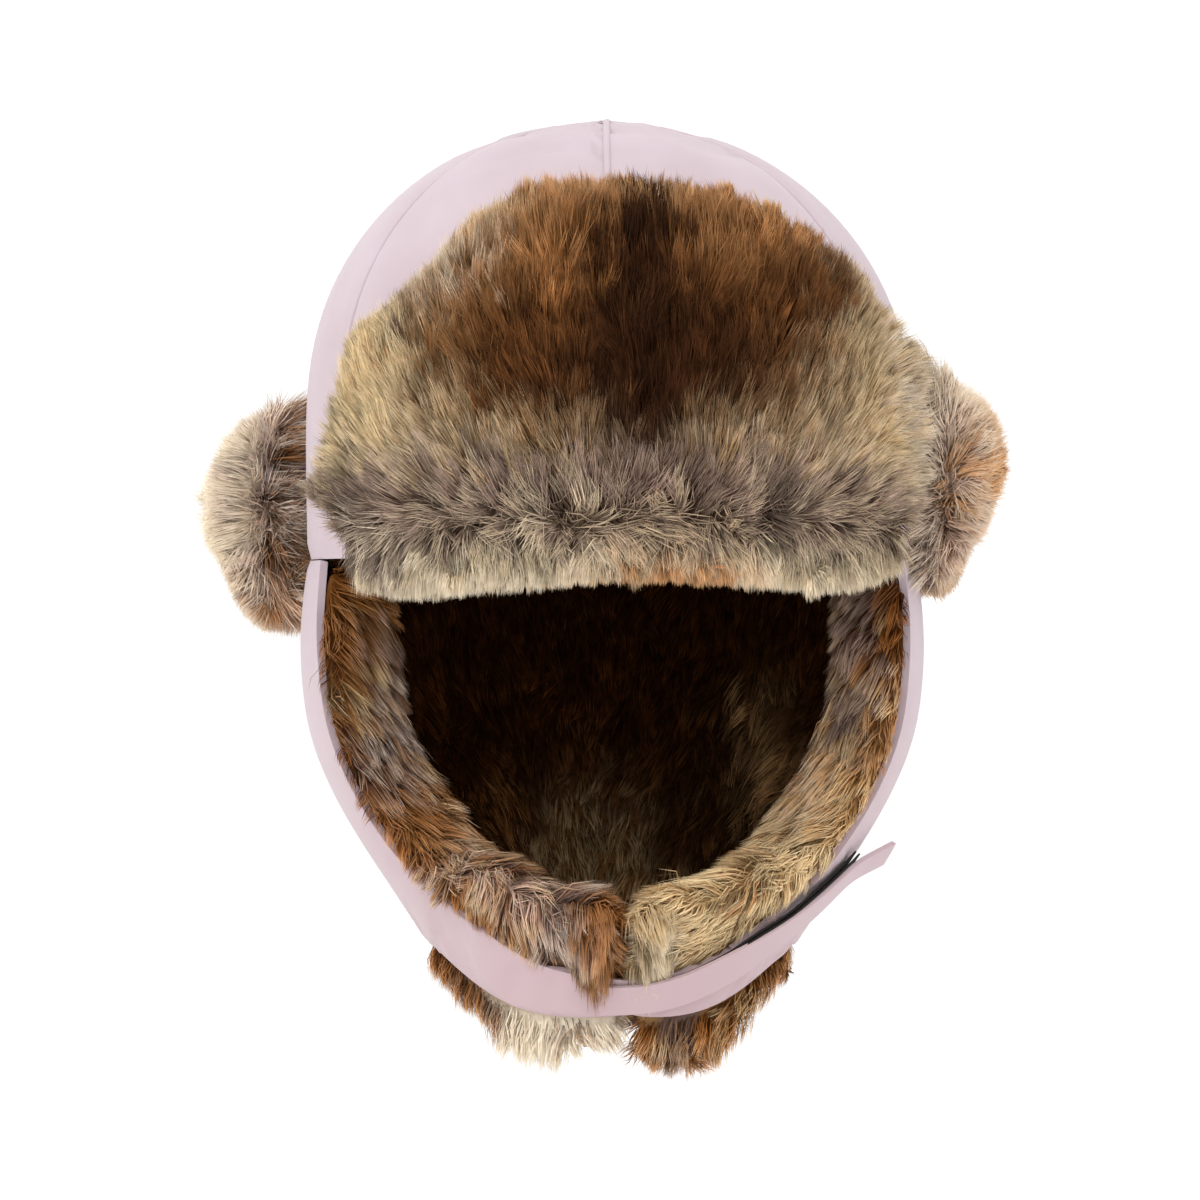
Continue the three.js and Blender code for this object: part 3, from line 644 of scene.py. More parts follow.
def undercoat(node, name, cloths, depth, reshape=None):
    """A rounded copy of a fur solid, sunk by depth where it is far from the cloth that backs it."""
    piece = copy_of(node, name)
    remesh = piece.modifiers.new("remesh", "REMESH")
    remesh.mode = "VOXEL"
    remesh.voxel_size = UNDERCOAT_VOXEL
    relax = piece.modifiers.new("relax", "SMOOTH")
    relax.factor = 0.5
    relax.iterations = UNDERCOAT_RELAX
    apply_all(piece)
    keep_largest(piece)
    backing = tree_of(*(frame["nodes"][cloth] for cloth in cloths))
    if reshape:
        set_points(piece, reshape(points_of(piece), backing))
    form = tree_of(piece)
    points, normals = points_of(piece), normals_of(piece)
    away = np.array([backing.find_nearest(Vector(point))[3] for point in points])
    points -= normals * (depth * np.clip(away / UNDERCOAT_REACH, 0, 1))[:, None]
    set_points(piece, points)
    piece.data.shade_smooth()
    print(name, len(points), "vertices, up to", round(float(away.max()) / MM), "mm from the cloth")
    return piece, backing, form


# %% [markdown]
# ### One hair and one lock
# A hair has a root, a middle and a tip. A quad joins the first two, and a triangle ends in the tip. Its
# path bends once. Neighbouring hairs form a lock because their tips are drawn towards a leading hair.

# %% Roots and paths of the hairs
HAIR_STEPS = np.array([0.0, 0.5, 1.0])
HAIR_TAPER = np.array([1.0, 0.8, 0.0])
HAIR_CORNERS = np.array([0, 1, 3, 2, 2, 3, 4])
HAIR_FACES = np.array([0, 4])
HAIR_TRIANGLES = 3
HAIR_POINTS = 5
MOST_TRIANGLES = 190000
TRIM_SHARES = (1, 0.85, 0.7, 0.55, 0.4)
LOCK_WIDTH = 0.25
LOCK_CURVE = 1.5
RIBBON_TURN = 0.4


def scatter(piece, count, weight, chance):
    """Random roots on a mesh and the directions in which it faces there."""
    mesh = piece.data
    mesh.calc_loop_triangles()
    corners = np.empty(3 * len(mesh.loop_triangles), np.int32)
    mesh.loop_triangles.foreach_get("vertices", corners)
    corners = corners.reshape(-1, 3)
    points, normals = points_of(piece)[corners], normals_of(piece)[corners]
    areas = np.linalg.norm(np.cross(points[:, 1] - points[:, 0], points[:, 2] - points[:, 0]), axis=1)
    share = areas * weight(points.mean(axis=1), unit(normals.mean(axis=1)))
    picked = chance.choice(len(corners), count, p=share / share.sum())
    first, second = chance.random((2, count, 1))
    over = first + second > 1
    first, second = np.where(over, 1 - first, first), np.where(over, 1 - second, second)
    mix = np.concatenate([1 - first - second, first, second], axis=1)[:, :, None]
    return (points[picked] * mix).sum(axis=1), unit((normals[picked] * mix).sum(axis=1))


def hair_paths(roots, starts, ends, lengths):
    """Each hair leaves its root along its start and bends round to its end."""
    step = HAIR_STEPS[None, :, None]
    bend = starts[:, None] * step + (ends - starts)[:, None] * step**2 / 2
    return roots[:, None] + lengths[:, None, None] * bend


def leaders(roots, hairs, chance):
    """The nearest leading hair for each hair, with about this many hairs to a lock."""
    chosen = chance.choice(len(roots), max(len(roots) // hairs, 1), replace=False)
    tree = KDTree(len(chosen))
    for number, leader in enumerate(chosen):
        tree.insert(roots[leader], number)
    tree.balance()
    return chosen[[tree.find(root)[1] for root in roots]]


def gather(paths, lead, pull):
    """Draws the tips of a lock's hairs towards its leading hair, each by its own share."""
    spread = (paths[:, :1] - paths[lead][:, :1]) * LOCK_WIDTH
    share = pull[:, None, None] * HAIR_STEPS[None, :, None] ** LOCK_CURVE
    return paths * (1 - share) + (paths[lead] + spread) * share


def trim(roots, starts, ends, lengths, form, spare):
    """Shortens the hairs whose tips would stand further than spare out of the fur's outer form."""
    reach = (starts + ends) / 2 * lengths[:, None]
    for number in range(len(roots)):
        for share in TRIM_SHARES:
            tip = Vector(roots[number] + reach[number] * share)
            hit, normal, _, far = form.find_nearest(tip)
            if far < spare[number] or (tip - hit).dot(normal) < 0:
                break
        lengths[number] *= share
    return lengths


def hair_mesh(name, paths, ups, widths, colours, chance):
    """One mesh of ribbons. colours holds a colour for each step of each hair."""
    count = len(paths)
    along = unit(np.gradient(paths, axis=1))
    side = unit(np.cross(along, ups[:, None]))
    turn = chance.normal(0, RIBBON_TURN, (count, 1, 1))
    across = side * np.cos(turn) + np.cross(along, side) * np.sin(turn)
    half = across * (widths[:, None] * HAIR_TAPER)[..., None] / 2
    points = np.empty((count, HAIR_POINTS, 3))
    points[:, 0:4:2] = (paths - half)[:, :2]
    points[:, 1:4:2] = (paths + half)[:, :2]
    points[:, 4] = paths[:, 2]
    shades = np.ones((count, HAIR_POINTS, 4))
    shades[:, :4, :3] = np.repeat(colours[:, :2], 2, axis=1)
    shades[:, 4, :3] = colours[:, 2]
    first = HAIR_POINTS * np.arange(count)[:, None]
    mesh = bpy.data.meshes.new(name)
    mesh.vertices.add(HAIR_POINTS * count)
    mesh.vertices.foreach_set("co", points.ravel())
    mesh.loops.add(len(HAIR_CORNERS) * count)
    mesh.loops.foreach_set("vertex_index", (first + HAIR_CORNERS).ravel().astype(np.int32))
    mesh.polygons.add(len(HAIR_FACES) * count)
    starts = len(HAIR_CORNERS) * np.arange(count)[:, None] + HAIR_FACES
    mesh.polygons.foreach_set("loop_start", starts.ravel().astype(np.int32))
    mesh.update(calc_edges=True)
    mesh.shade_smooth()
    coat = mesh.color_attributes.new("coat", "FLOAT_COLOR", "POINT")
    coat.data.foreach_set("color", shades.ravel())
    piece = bpy.data.objects.new(name, mesh)
    bpy.context.scene.collection.objects.link(piece)
    return piece


# %% [markdown]
# ### The coat's colours
# The hairs are dyed from a dark root to a light tip, and the dye changes in patches. A short table
# paints the patches over each other as soft ellipses, in shares of the piece's box across and up. Each
# lock reads the table a little off its own place, which makes the patches' edges ragged like real fur.

# %% Coat colours
DYES = {
    "night": linear(26, 10, 4),
    "umber": linear(60, 30, 9),
    "bark": linear(106, 61, 22),
    "chestnut": linear(144, 94, 48),
    "fox": linear(174, 124, 78),
    "amber": linear(218, 172, 124),
    "honey": linear(192, 158, 108),
    "straw": linear(230, 208, 166),
    "cream": linear(252, 238, 214),
    "slate": linear(110, 89, 81),
    "ash": linear(164, 139, 124),
    "smoke": linear(214, 198, 182),
}
PATCH_END = 9
PATCH_EDGE = 3
ROOT_SHARE = 0.65
MIDDLE_SHARE = 0.2


def paint(patches, across, up):
    """Root, middle and tip colours at each place: later patches lie over earlier ones."""
    coat = np.zeros((len(across), 3, 3))
    for spot in patches:
        far = ((across - spot["across"]) / spot["wide"]) ** 2 + ((up - spot["up"]) / spot["high"]) ** 2
        share = 1 / (1 + np.minimum(far, PATCH_END) ** PATCH_EDGE)
        dye = np.array([DYES[spot[part]] for part in ("root", "middle", "tip")])
        coat += share[:, None, None] * (dye[None] - coat)
    return coat


def patch(across, up, wide, high, root, middle, tip):
    """One soft patch of the coat."""
    return dict(across=across, up=up, wide=wide, high=high, root=root, middle=middle, tip=tip)


def fur_material():
    """The hairs' own dye, streaked by fine noise, with the faint shine of a fibre."""
    material, nodes, links, shader = new_material("faux_fur")
    coat = nodes.new("ShaderNodeVertexColor")
    coat.layer_name = "coat"
    place = nodes.new("ShaderNodeTexCoord")
    streak = nodes.new("ShaderNodeTexNoise")
    streak.inputs["Scale"].default_value = 420
    streak.inputs["Detail"].default_value = 3
    links.new(place.outputs["Object"], streak.inputs["Vector"])
    vary = nodes.new("ShaderNodeMapRange")
    vary.inputs["From Min"].default_value = 0.3
    vary.inputs["From Max"].default_value = 0.7
    vary.inputs["To Min"].default_value = 0.85
    vary.inputs["To Max"].default_value = 1.15
    links.new(streak.outputs["Fac"], vary.inputs["Value"])
    shade = nodes.new("ShaderNodeMix")
    shade.data_type = "RGBA"
    shade.blend_type = "MULTIPLY"
    shade.inputs["Factor"].default_value = 1
    links.new(coat.outputs["Color"], shade.inputs["A"])
    links.new(vary.outputs["Result"], shade.inputs["B"])
    links.new(shade.outputs["Result"], shader.inputs["Base Color"])
    shader.inputs["Roughness"].default_value = 0.65
    shader.inputs["Specular IOR Level"].default_value = 0.03
    return material


fur = fur_material()


def paint_undercoat(piece, patches, place):
    """The undercoat takes a dark mix of the roots' and the middles' colours."""
    across, up = place(points_of(piece))
    coat = paint(patches, across, up)
    shades = np.ones((len(across), 4))
    shades[:, :3] = coat[:, 0] * ROOT_SHARE + coat[:, 1] * MIDDLE_SHARE
    layer = piece.data.color_attributes.new("coat", "FLOAT_COLOR", "POINT")
    layer.data.foreach_set("color", shades.ravel())


def in_box(node):
    """Shares of a node's box, across and up, for an array of points."""
    low, high = (np.array(corner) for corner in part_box(node))

    def place(points):
        share = (points - low) / (high - low)
        return share[:, 0], share[:, 2]

    return place


# %% [markdown]
# ### Growing a coat
# Every fur piece grows in the same way. Direction and dye vary hair by hair, lock by lock and in bunches
# of eight locks, and length varies by hair and by lock. A limit may name an outline, and hairs that pass
# it are cut.

# %% Growing a coat
FACING_CLOTH = 9 * MM
BUNCH = 8
LOCK_SWAY = 0.2
BUNCH_SWAY = 0.14
LENGTH_SWAY = 0.14
BUNCH_OFF = 0.75
SHORTEST = 0.4
LONGEST = 1.4
LAID_DOWN = 0.15
STAND_SWAY = 0.25
LEAST_STAND = 0.1
MOST_STAND = 0.95
RISE_SWAY = 0.1
LIMIT_CUT = 0.8
HAIR_LIGHT = 0.8
DARKEST = -0.8
BRIGHTEST = 0.7
PALE_LOCK = 1.5
PALEST = 0.6
LIMIT_TRIES = 6
LIGHTEST = 0.9
RAGGED_EDGE = 6 * MM


def free_share(backing):
    """Where hair may grow on an undercoat: away from the cloth, and not on the side that faces it."""
    def weight(centres, normals):
        share = np.empty(len(centres))
        for number, (centre, normal) in enumerate(zip(centres, normals)):
            hit, _, _, away = backing.find_nearest(Vector(centre))
            faces = away < FACING_CLOTH and (hit - Vector(centre)).dot(Vector(normal)) > 0.35 * away
            share[number] = 0 if faces else np.clip((away - 1.2 * MM) / (2.5 * MM), 0, 1)
        return share
    return weight


def plant(name, base, slot, place, patches, weight, comb, count, length, width, form=None, lift=0.5,
          rise=0.06, lock=22, pull=0.4, spare=3.5 * MM, frizz=0.12, seed=1, scale=None, limit=None,
          ragged=0.02, vary=0.2, bright=1):
    """Plants hairs on a mesh, as one or more meshes of ribbons.

    lift is how steeply a hair leaves the surface, and rise how far it still stands up at its end. lock is
    how many hairs a lock has, pull how firmly their tips gather, and spare how far a tip may stand out of
    the form.
    """
    chance = np.random.default_rng(seed)
    roots, ups = scatter(base, count, weight, chance)
    lead = leaders(roots, lock, chance)
    big = leaders(roots, lock * BUNCH, chance)
    way = unit(comb(roots, ups) + LOCK_SWAY * chance.normal(0, 1, (count, 3))[lead]
               + BUNCH_SWAY * chance.normal(0, 1, (count, 3))[big]
               + frizz * chance.normal(0, 1, (count, 3)))
    # A hair may lean out of the surface, but its way never points into it.
    way = unit(way - ups * np.minimum((way * ups).sum(axis=1, keepdims=True), LAID_DOWN))
    stand = np.clip(lift * (1 + STAND_SWAY * chance.normal(0, 1, count)), LEAST_STAND, MOST_STAND)
    stand = stand[:, None]
    starts = unit(ups * stand + way * (1 - stand))
    ends = unit(way + ups * (rise + RISE_SWAY * chance.normal(0, 1, count)[lead])[:, None])
    sway = LENGTH_SWAY * chance.normal(0, 1, count)[lead]
    lengths = length * (1 + sway + LENGTH_SWAY * chance.normal(0, 1, count))
    longer = scale(roots, ups) if scale else np.ones(count)
    lengths = np.clip(lengths, SHORTEST * length, LONGEST * length) * longer
    if form:
        allowed = spare * (0.5 + chance.random(count)) * longer**2
        lengths = trim(roots, starts, ends, lengths, form, allowed)
    edge = RAGGED_EDGE * (chance.random(count) ** 2 - 0.3)
    for _ in range(LIMIT_TRIES if limit else 0):
        tips = roots + (starts + ends) / 2 * lengths[:, None]
        lengths = np.where(limit(tips, edge), LIMIT_CUT * lengths, lengths)
    paths = hair_paths(roots, starts, ends, lengths)
    paths = gather(paths, lead, pull * (0.4 + 1.2 * chance.random(count)))
    paths = gather(paths, big, np.full(count, pull * 0.3))

    across, up = place(roots)
    off = ragged * chance.normal(0, 1, (2, count))
    across = across + off[0, lead] + BUNCH_OFF * off[0, big]
    up = up + off[1, lead] + BUNCH_OFF * off[1, big] + 0.4 * off[1]
    coat = paint(patches, across, up)
    light = vary * chance.normal(0, 1, (3, count))
    light = light[0, big] + light[1, lead] + HAIR_LIGHT * light[2]
    coat *= bright * np.exp(np.clip(light, DARKEST, BRIGHTEST))[:, None, None]
    # Some locks have paler tips, the root is darkened further as painted shade deep in the coat, and the
    # middle takes in some of the root's colour.
    pale = vary * chance.normal(0, 1, (2, count))
    pale = np.clip(PALE_LOCK * pale[0, lead] + pale[1], 0, PALEST)
    coat[:, 2] += pale[:, None] * (0.9 * coat[:, 2] + 0.004)
    colours = np.stack([coat[:, 0] * 0.7, coat[:, 0] * 0.35 + coat[:, 1] * 0.65, coat[:, 2]], axis=1)
    colours /= np.maximum(colours.max(axis=-1, keepdims=True) / LIGHTEST, 1)
    widths = width * (0.6 + 0.8 * chance.random(count))
    parts = math.ceil(count * HAIR_TRIANGLES / MOST_TRIANGLES)
    for number, some in enumerate(np.array_split(np.argsort(roots[:, 0]), parts), start=1):
        hairs = hair_mesh(f"{name}_{number}", paths[some], ups[some], widths[some], colours[some], chance)
        dress(hairs, fur, slot)
    print(name, count, "hairs,", round(float(lengths.mean()) / MM, 1), "mm long on average")


def grow(node, slot, cloths, patches, comb, depth, reshape=None, share=free_share, **settings):
    """Grows a fur piece: its undercoat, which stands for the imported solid, and its hairs."""
    base, backing, form = undercoat(node, f"{node}_undercoat", cloths, depth, reshape)
    place = in_box(node)
    paint_undercoat(base, patches, place)
    dress(base, fur, slot, node)
    plant(f"{node}_hairs", base, slot, place, patches, share(backing), comb, form=form, **settings)
    return base


# %% [markdown]
# ### Front flap
# The flap's hairs part near the fold. Above the parting they run up, and fan out to both sides the more,
# the nearer they are to it. Below the parting they hang straight down over the face opening, as a level
# cream rim. At the parting itself they cross each other, which a weaker comb gives.
# The fur's upper edge follows a few points in millimetres, worked out from places measured in the
# photo. The undercoat is stretched to them, and the hairs that stand over them are cut.

# %% Front flap
FLAP_PATCHES = [
    patch(0.5, 0.5, 9, 9, "ash", "straw", "cream"),
    patch(0.5, 0.55, 0.42, 0.4, "bark", "honey", "straw"),
    patch(0.52, 0.62, 0.35, 0.33, "umber", "bark", "bark"),
    patch(0.3, 0.7, 0.12, 0.18, "umber", "bark", "chestnut"),
    patch(0.38, 0.5, 0.1, 0.12, "umber", "umber", "bark"),
    patch(0.76, 0.68, 0.09, 0.2, "umber", "umber", "bark"),
    patch(0.36, 0.88, 0.14, 0.16, "bark", "chestnut", "fox"),
    patch(0.7, 0.88, 0.14, 0.16, "bark", "chestnut", "fox"),
    patch(0.5, 0.93, 0.36, 0.08, "bark", "fox", "amber"),
    patch(0.06, 0.57, 0.06, 0.08, "straw", "cream", "cream"),
    patch(0.13, 0.67, 0.07, 0.07, "honey", "straw", "cream"),
    patch(0.2, 0.74, 0.09, 0.08, "honey", "amber", "cream"),
    patch(0.27, 0.88, 0.08, 0.07, "bark", "amber", "straw"),
    patch(0.82, 0.9, 0.09, 0.07, "bark", "amber", "straw"),
    patch(0.92, 0.76, 0.06, 0.09, "ash", "straw", "cream"),
    patch(0.535, 0.5, 0.085, 0.26, "night", "night", "umber"),
    patch(0.533, 0.72, 0.045, 0.14, "night", "night", "umber"),
    patch(0.53, 0.9, 0.018, 0.14, "night", "night", "umber"),
    patch(0.59, 0.5, 0.1, 0.12, "night", "umber", "umber"),
    patch(0.1, 0.5, 0.075, 0.24, "honey", "straw", "straw"),
    patch(0.89, 0.48, 0.05, 0.2, "bark", "honey", "straw"),
    patch(0.17, 0.62, 0.02, 0.07, "night", "umber", "slate"),
    patch(0.22, 0.5, 0.03, 0.05, "umber", "chestnut", "fox"),
    patch(0.98, 0.58, 0.06, 0.28, "ash", "smoke", "cream"),
    patch(0.5, 0.23, 0.6, 0.065, "umber", "slate", "ash"),
    patch(0.5, 0.17, 0.6, 0.035, "umber", "slate", "straw"),
    patch(0.13, 0.19, 0.06, 0.05, "night", "slate", "slate"),
    patch(0.5, 0.03, 0.6, 0.12, "straw", "cream", "cream"),
    patch(0.57, 0.05, 0.13, 0.1, "fox", "fox", "amber"),
]
PARTING = 0.2
PARTING_BLUR = 0.04
FLAP_MIDDLE = 0.53
FLAP_TOP_ACROSS = np.array([-88, -81, -69, -58, -43, -21, 6, 35, 57, 76, 83, 97, 105]) * MM
FLAP_TOP = np.array([52, 72.5, 78.5, 88, 105, 116.5, 117, 113, 103.5, 91, 78, 68, 60]) * MM
FLAP_FIXED = 45 * MM
FLAP_HAIR = 6 * MM
FLAP_STEP = 5 * MM
FLAP_CORNER = 4 * MM
FLAP_BOTTOM = -14.5 * MM
LEAST_STRETCH = 0.6
MOST_STRETCH = 1.3
CORNER_SIDE = -80 * MM
CORNER_TOP = 40 * MM
CORNER_SIDE_BLUR = 10 * MM
CORNER_TOP_BLUR = 20 * MM


def flap_top(across):
    """How high the fur's upper edge is, as a shallow arch that falls off in steps to the sides."""
    return np.interp(across, FLAP_TOP_ACROSS, FLAP_TOP)


def flap_reshape(points, backing):
    """Stretches the upper part to the edge along the crown's slope, and draws out the lower left corner."""
    column = np.round(points[:, 0] / FLAP_STEP).astype(int)
    steps = np.unique(column)
    tops = np.array([points[column == step, 2].max() for step in steps])
    own = np.interp(points[:, 0], steps * FLAP_STEP, tops)
    stretch = (flap_top(points[:, 0]) - FLAP_HAIR - FLAP_FIXED) / np.maximum(own - FLAP_FIXED, FLAP_STEP)
    upper = points[:, 2] > FLAP_FIXED
    high = FLAP_FIXED + (points[:, 2] - FLAP_FIXED) * np.clip(stretch, LEAST_STRETCH, MOST_STRETCH)
    moved = points.copy()
    outer = np.clip((CORNER_SIDE - points[:, 0]) / CORNER_SIDE_BLUR, 0, 1)
    lower = np.clip((CORNER_TOP - points[:, 2]) / CORNER_TOP_BLUR, 0, 1)
    moved[:, 0] -= FLAP_CORNER * outer * lower
    for number in np.flatnonzero(upper):
        x, _, z = points[number]
        before = backing.ray_cast(Vector((x, -1, z)), Vector((0, 1, 0)))[0]
        after = backing.ray_cast(Vector((x, -1, high[number])), Vector((0, 1, 0)))[0]
        moved[number, 2] = high[number]
        if before and after:
            moved[number, 1] += after.y - before.y
    return moved


def over_flap(tips, spare):
    """Which tips stand over the flap's upper edge or hang below its rim."""
    return (tips[:, 2] > flap_top(tips[:, 0]) + spare) | (tips[:, 2] < FLAP_BOTTOM - 0.3 * spare)


def flap_comb(roots, ups):
    """Up and outwards above the parting, straight down below it, and to the right at that side."""
    across, up = in_box("front_flap")(roots)
    above = np.tanh((up - PARTING) / PARTING_BLUR)
    near = np.exp(-(((up - PARTING) / 0.25) ** 2))
    right = np.clip((across - 0.86) / 0.1, 0, 1) * np.clip((0.8 - up) / 0.15, 0, 1) * (up > 0.22)
    out = (across - FLAP_MIDDLE) * (0.25 + 0.5 * (above > 0) + 1.7 * near * (above > 0)) + 1.2 * right
    out -= 0.7 * np.clip((0.07 - across) / 0.05, 0, 1) * (up < 0.3)
    calm = 1 - 0.45 * np.exp(-(((up - PARTING) / 0.05) ** 2)) + 2.5 * np.clip((0.14 - up) / 0.03, 0, 1)
    return np.stack([out, np.zeros_like(out), above * (1 - 1.2 * right)], axis=1) * calm[:, None]


def flap_scale(roots, ups):
    """Hair is longest on the free upper edge and at the sides, and shorter at the rim."""
    across, up = in_box("front_flap")(roots)
    edge = np.clip(1.6 * ups[:, 2], 0, 1) * (up > 0.35)
    right = np.clip((across - 0.88) / 0.08, 0, 1) * (up > 0.22)
    return 1 + 0.6 * edge + 0.35 * np.abs(2 * across - 1) ** 4 + 0.3 * right - 0.15 * (up < 0.12)


grow("front_flap", "brown_fur", ["crown_gore_1", "crown_gore_6", "crown_gore_2", "crown_gore_5"],
     FLAP_PATCHES, flap_comb, depth=5 * MM, reshape=flap_reshape, limit=over_flap, count=112000,
     length=15 * MM, width=0.36 * MM, seed=11, scale=flap_scale)

# %% [markdown]
# ### Cuff
# The cuff's two ends show as a lobe at each side of the crown. On an end the hairs lie outwards on its
# outer half and inwards, towards the crown, on its inner half, where they hide most of the cuff's cloth.
# Round the sides and the back they run backwards, up at the free edge and down at the fold. The lobes'
# outline is a few points from the photo too.

# %% Cuff fur
CUFF_PATCHES = [
    patch(0.5, 0.5, 9, 9, "slate", "ash", "cream"),
    patch(0.5, 0.0, 0.6, 0.14, "bark", "fox", "amber"),
    patch(0.5, 1.0, 0.6, 0.12, "ash", "smoke", "cream"),
    patch(0.0, 0.5, 0.085, 0.6, "cream", "cream", "cream"),
    patch(0.1, 0.5, 0.02, 0.3, "smoke", "smoke", "smoke"),
    patch(0.03, 0.12, 0.08, 0.08, "fox", "amber", "cream"),
    patch(0.08, 0.0, 0.08, 0.08, "bark", "fox", "amber"),
    patch(0.92, 0.6, 0.05, 0.5, "ash", "smoke", "cream"),
    patch(1.0, 0.45, 0.07, 0.4, "chestnut", "amber", "amber"),
    patch(1.0, 0.45, 0.025, 0.4, "chestnut", "fox", "amber"),
    patch(0.88, 0.3, 0.03, 0.16, "bark", "ash", "smoke"),
    patch(0.92, 0.1, 0.07, 0.12, "smoke", "straw", "amber"),
    patch(0.9, 0.95, 0.1, 0.2, "smoke", "cream", "cream"),
]
CUFF_HALF = 105 * MM
CUFF_TURN = 8 * MM
CUFF_MIDDLE = 20 * MM
LOBE_TOP_ACROSS = np.array([-133, -127, -119, -113, -102, 90, 100, 106, 108, 120, 125, 126.5]) * MM
LOBE_TOP = np.array([27, 40, 47, 53, 57, 77, 71, 65, 58, 52, 46, 38]) * MM
LOBE_LOW_ACROSS = np.array([-131, -127, -121, -115.5, -104, 95, 107, 112, 113.5, 121, 123.5]) * MM
LOBE_LOW = np.array([2, -5, -18, -24, -28, -13, -14.5, -8, 1, 8, 20]) * MM
LOBE_HAIR = 5 * MM
LOBE_FRONT = 40 * MM
LOBE_BACK = 80 * MM
SIDE_BLUR = 40 * MM
FACING_DEPTH = 30 * MM
CUFF_RISE = 34 * MM
END_RISE = 50 * MM


def lobe_heights(across):
    """How high and how low the fur reaches at the cuff's two ends."""
    return np.interp(across, LOBE_TOP_ACROSS, LOBE_TOP), np.interp(across, LOBE_LOW_ACROSS, LOBE_LOW)


def cuff_reshape(points, backing):
    """Clips the cuff's ends to the lobes' outline, and leaves the back as it is."""
    top, low = lobe_heights(points[:, 0])
    moved = points.copy()
    moved[:, 2] = np.clip(points[:, 2], np.minimum(low, top) + LOBE_HAIR, top - LOBE_HAIR)
    share = np.clip((LOBE_BACK - points[:, 1:2]) / (LOBE_BACK - LOBE_FRONT), 0, 1)
    return points + share * (moved - points)


def off_lobe(tips, spare):
    """Which tips near the cuff's ends stand out of the lobes' outline."""
    top, low = lobe_heights(tips[:, 0])
    wide = (tips[:, 0] < LOBE_TOP_ACROSS[0] - spare) | (tips[:, 0] > LOBE_TOP_ACROSS[-1] + spare)
    return (tips[:, 1] < LOBE_FRONT) & ((tips[:, 2] > top + spare) | (tips[:, 2] < low - spare) | wide)


def cuff_comb(roots, ups):
    """Away from the lobe's middle at the ends, and backwards round the hat."""
    side = np.tanh(roots[:, 0] / SIDE_BLUR)
    facing = np.clip(-ups[:, 1], 0, 1) * (roots[:, 1] < FACING_DEPTH)
    out = np.tanh((np.abs(roots[:, 0]) - CUFF_HALF) / CUFF_TURN)
    across = side * (facing * out + (1 - facing) * 0.3)
    back = 0.45 * (1 - facing)
    up = (roots[:, 2] - CUFF_MIDDLE) / CUFF_RISE
    return np.stack([across, back, up], axis=1)


def cuff_share(backing):
    """More hairs at the two ends, which are seen from close by, than round the back."""
    free = free_share(backing)
    return lambda centres, normals: free(centres, normals) * (1 + 1.5 * (centres[:, 1] < LOBE_FRONT))


def cuff_scale(roots, ups):
    """Hair is longer at the top of the lobes."""
    return 1 + 0.5 * np.clip(ups[:, 2], 0, 1) * (roots[:, 1] < LOBE_FRONT)


grow("cuff_fur", "cream_fur", ["cuff"], CUFF_PATCHES, cuff_comb, depth=5 * MM, reshape=cuff_reshape,
     limit=off_lobe, share=cuff_share, count=56000, length=15 * MM, width=0.42 * MM, lift=0.6, rise=0.2,
     lock=18, pull=0.3, spare=4 * MM, vary=0.13, bright=1.2, scale=cuff_scale, seed=12)

# %% [markdown]
# The fur cloth is turned in over the cuff's two ends, and its hairs bridge the gap to the crown there.
# They are planted on the cuff's own cloth, close to its ends and along its upper rim behind them. On the
# left end a small place gets fewer hairs.

# %% Fur over the cuff's ends
END_PATCHES = [
    patch(0.5, 0.5, 9, 9, "smoke", "smoke", "smoke"),
    patch(0.09, 0.1, 0.04, 0.2, "smoke", "amber", "cream"),
    patch(0.122, 0.85, 0.022, 0.3, "umber", "chestnut", "fox"),
    patch(0.125, 0.3, 0.018, 0.4, "umber", "chestnut", "fox"),
    patch(0.9, 0.6, 0.1, 0.6, "ash", "smoke", "cream"),
]
END_REACH = 20 * MM
RIM_REACH = 70 * MM
END_MIDDLE = 112 * MM
END_TURN = 3 * MM
THIN_HEIGHT = 28 * MM
THIN_HALF = 6 * MM
cuff_points = points_of(cuff)
left_end = cuff_points[cuff_points[:, 0] < 0][:, 1].min()
right_end = cuff_points[cuff_points[:, 0] > 0][:, 1].min()
print("cuff ends", round(left_end / MM), "and", round(right_end / MM), "mm behind the crown's middle")


def end_share(centres, normals):
    """Hair grows near the ends, on faces that look forwards or at the crown, and on the upper rim."""
    left = centres[:, 0] < 0
    behind = centres[:, 1] - np.where(left, left_end, right_end)
    near = np.clip(1 - behind / END_REACH, 0, 1)
    looks = np.maximum(-normals[:, 1], -np.sign(centres[:, 0]) * normals[:, 0]) > 0.3
    thin = left * np.exp(-(((centres[:, 2] - THIN_HEIGHT) / THIN_HALF) ** 2))
    rim = (normals[:, 2] > 0.6) * np.clip(1 - behind / RIM_REACH, 0, 1)
    return np.maximum(near * looks * (1 - thin), rim)


def end_comb(roots, ups):
    """Outwards on the cloth's outer half and towards the crown on its inner half."""
    out = np.sign(roots[:, 0]) * np.tanh((np.abs(roots[:, 0]) - END_MIDDLE) / END_TURN)
    up = (roots[:, 2] - CUFF_MIDDLE) / END_RISE
    return np.stack([out, np.full_like(up, -0.3), up], axis=1)


plant("cuff_end_hairs", cuff, "cream_fur", in_box("cuff_fur"), END_PATCHES, end_share, end_comb,
      limit=off_lobe, count=14000, length=17 * MM, width=0.42 * MM, lift=0.35, rise=0.1, lock=16,
      pull=0.3, vary=0.13, bright=1.2, seed=16)

# %% [markdown]
# ### Ear flaps
# The flaps' fur stands out round the face as a ruff. Its hairs follow the ruff down and round to the
# chin, and fall to both sides of its crest: over the cloth outside and into the opening inside. Below
# the hem they hang straight down as a fringe.

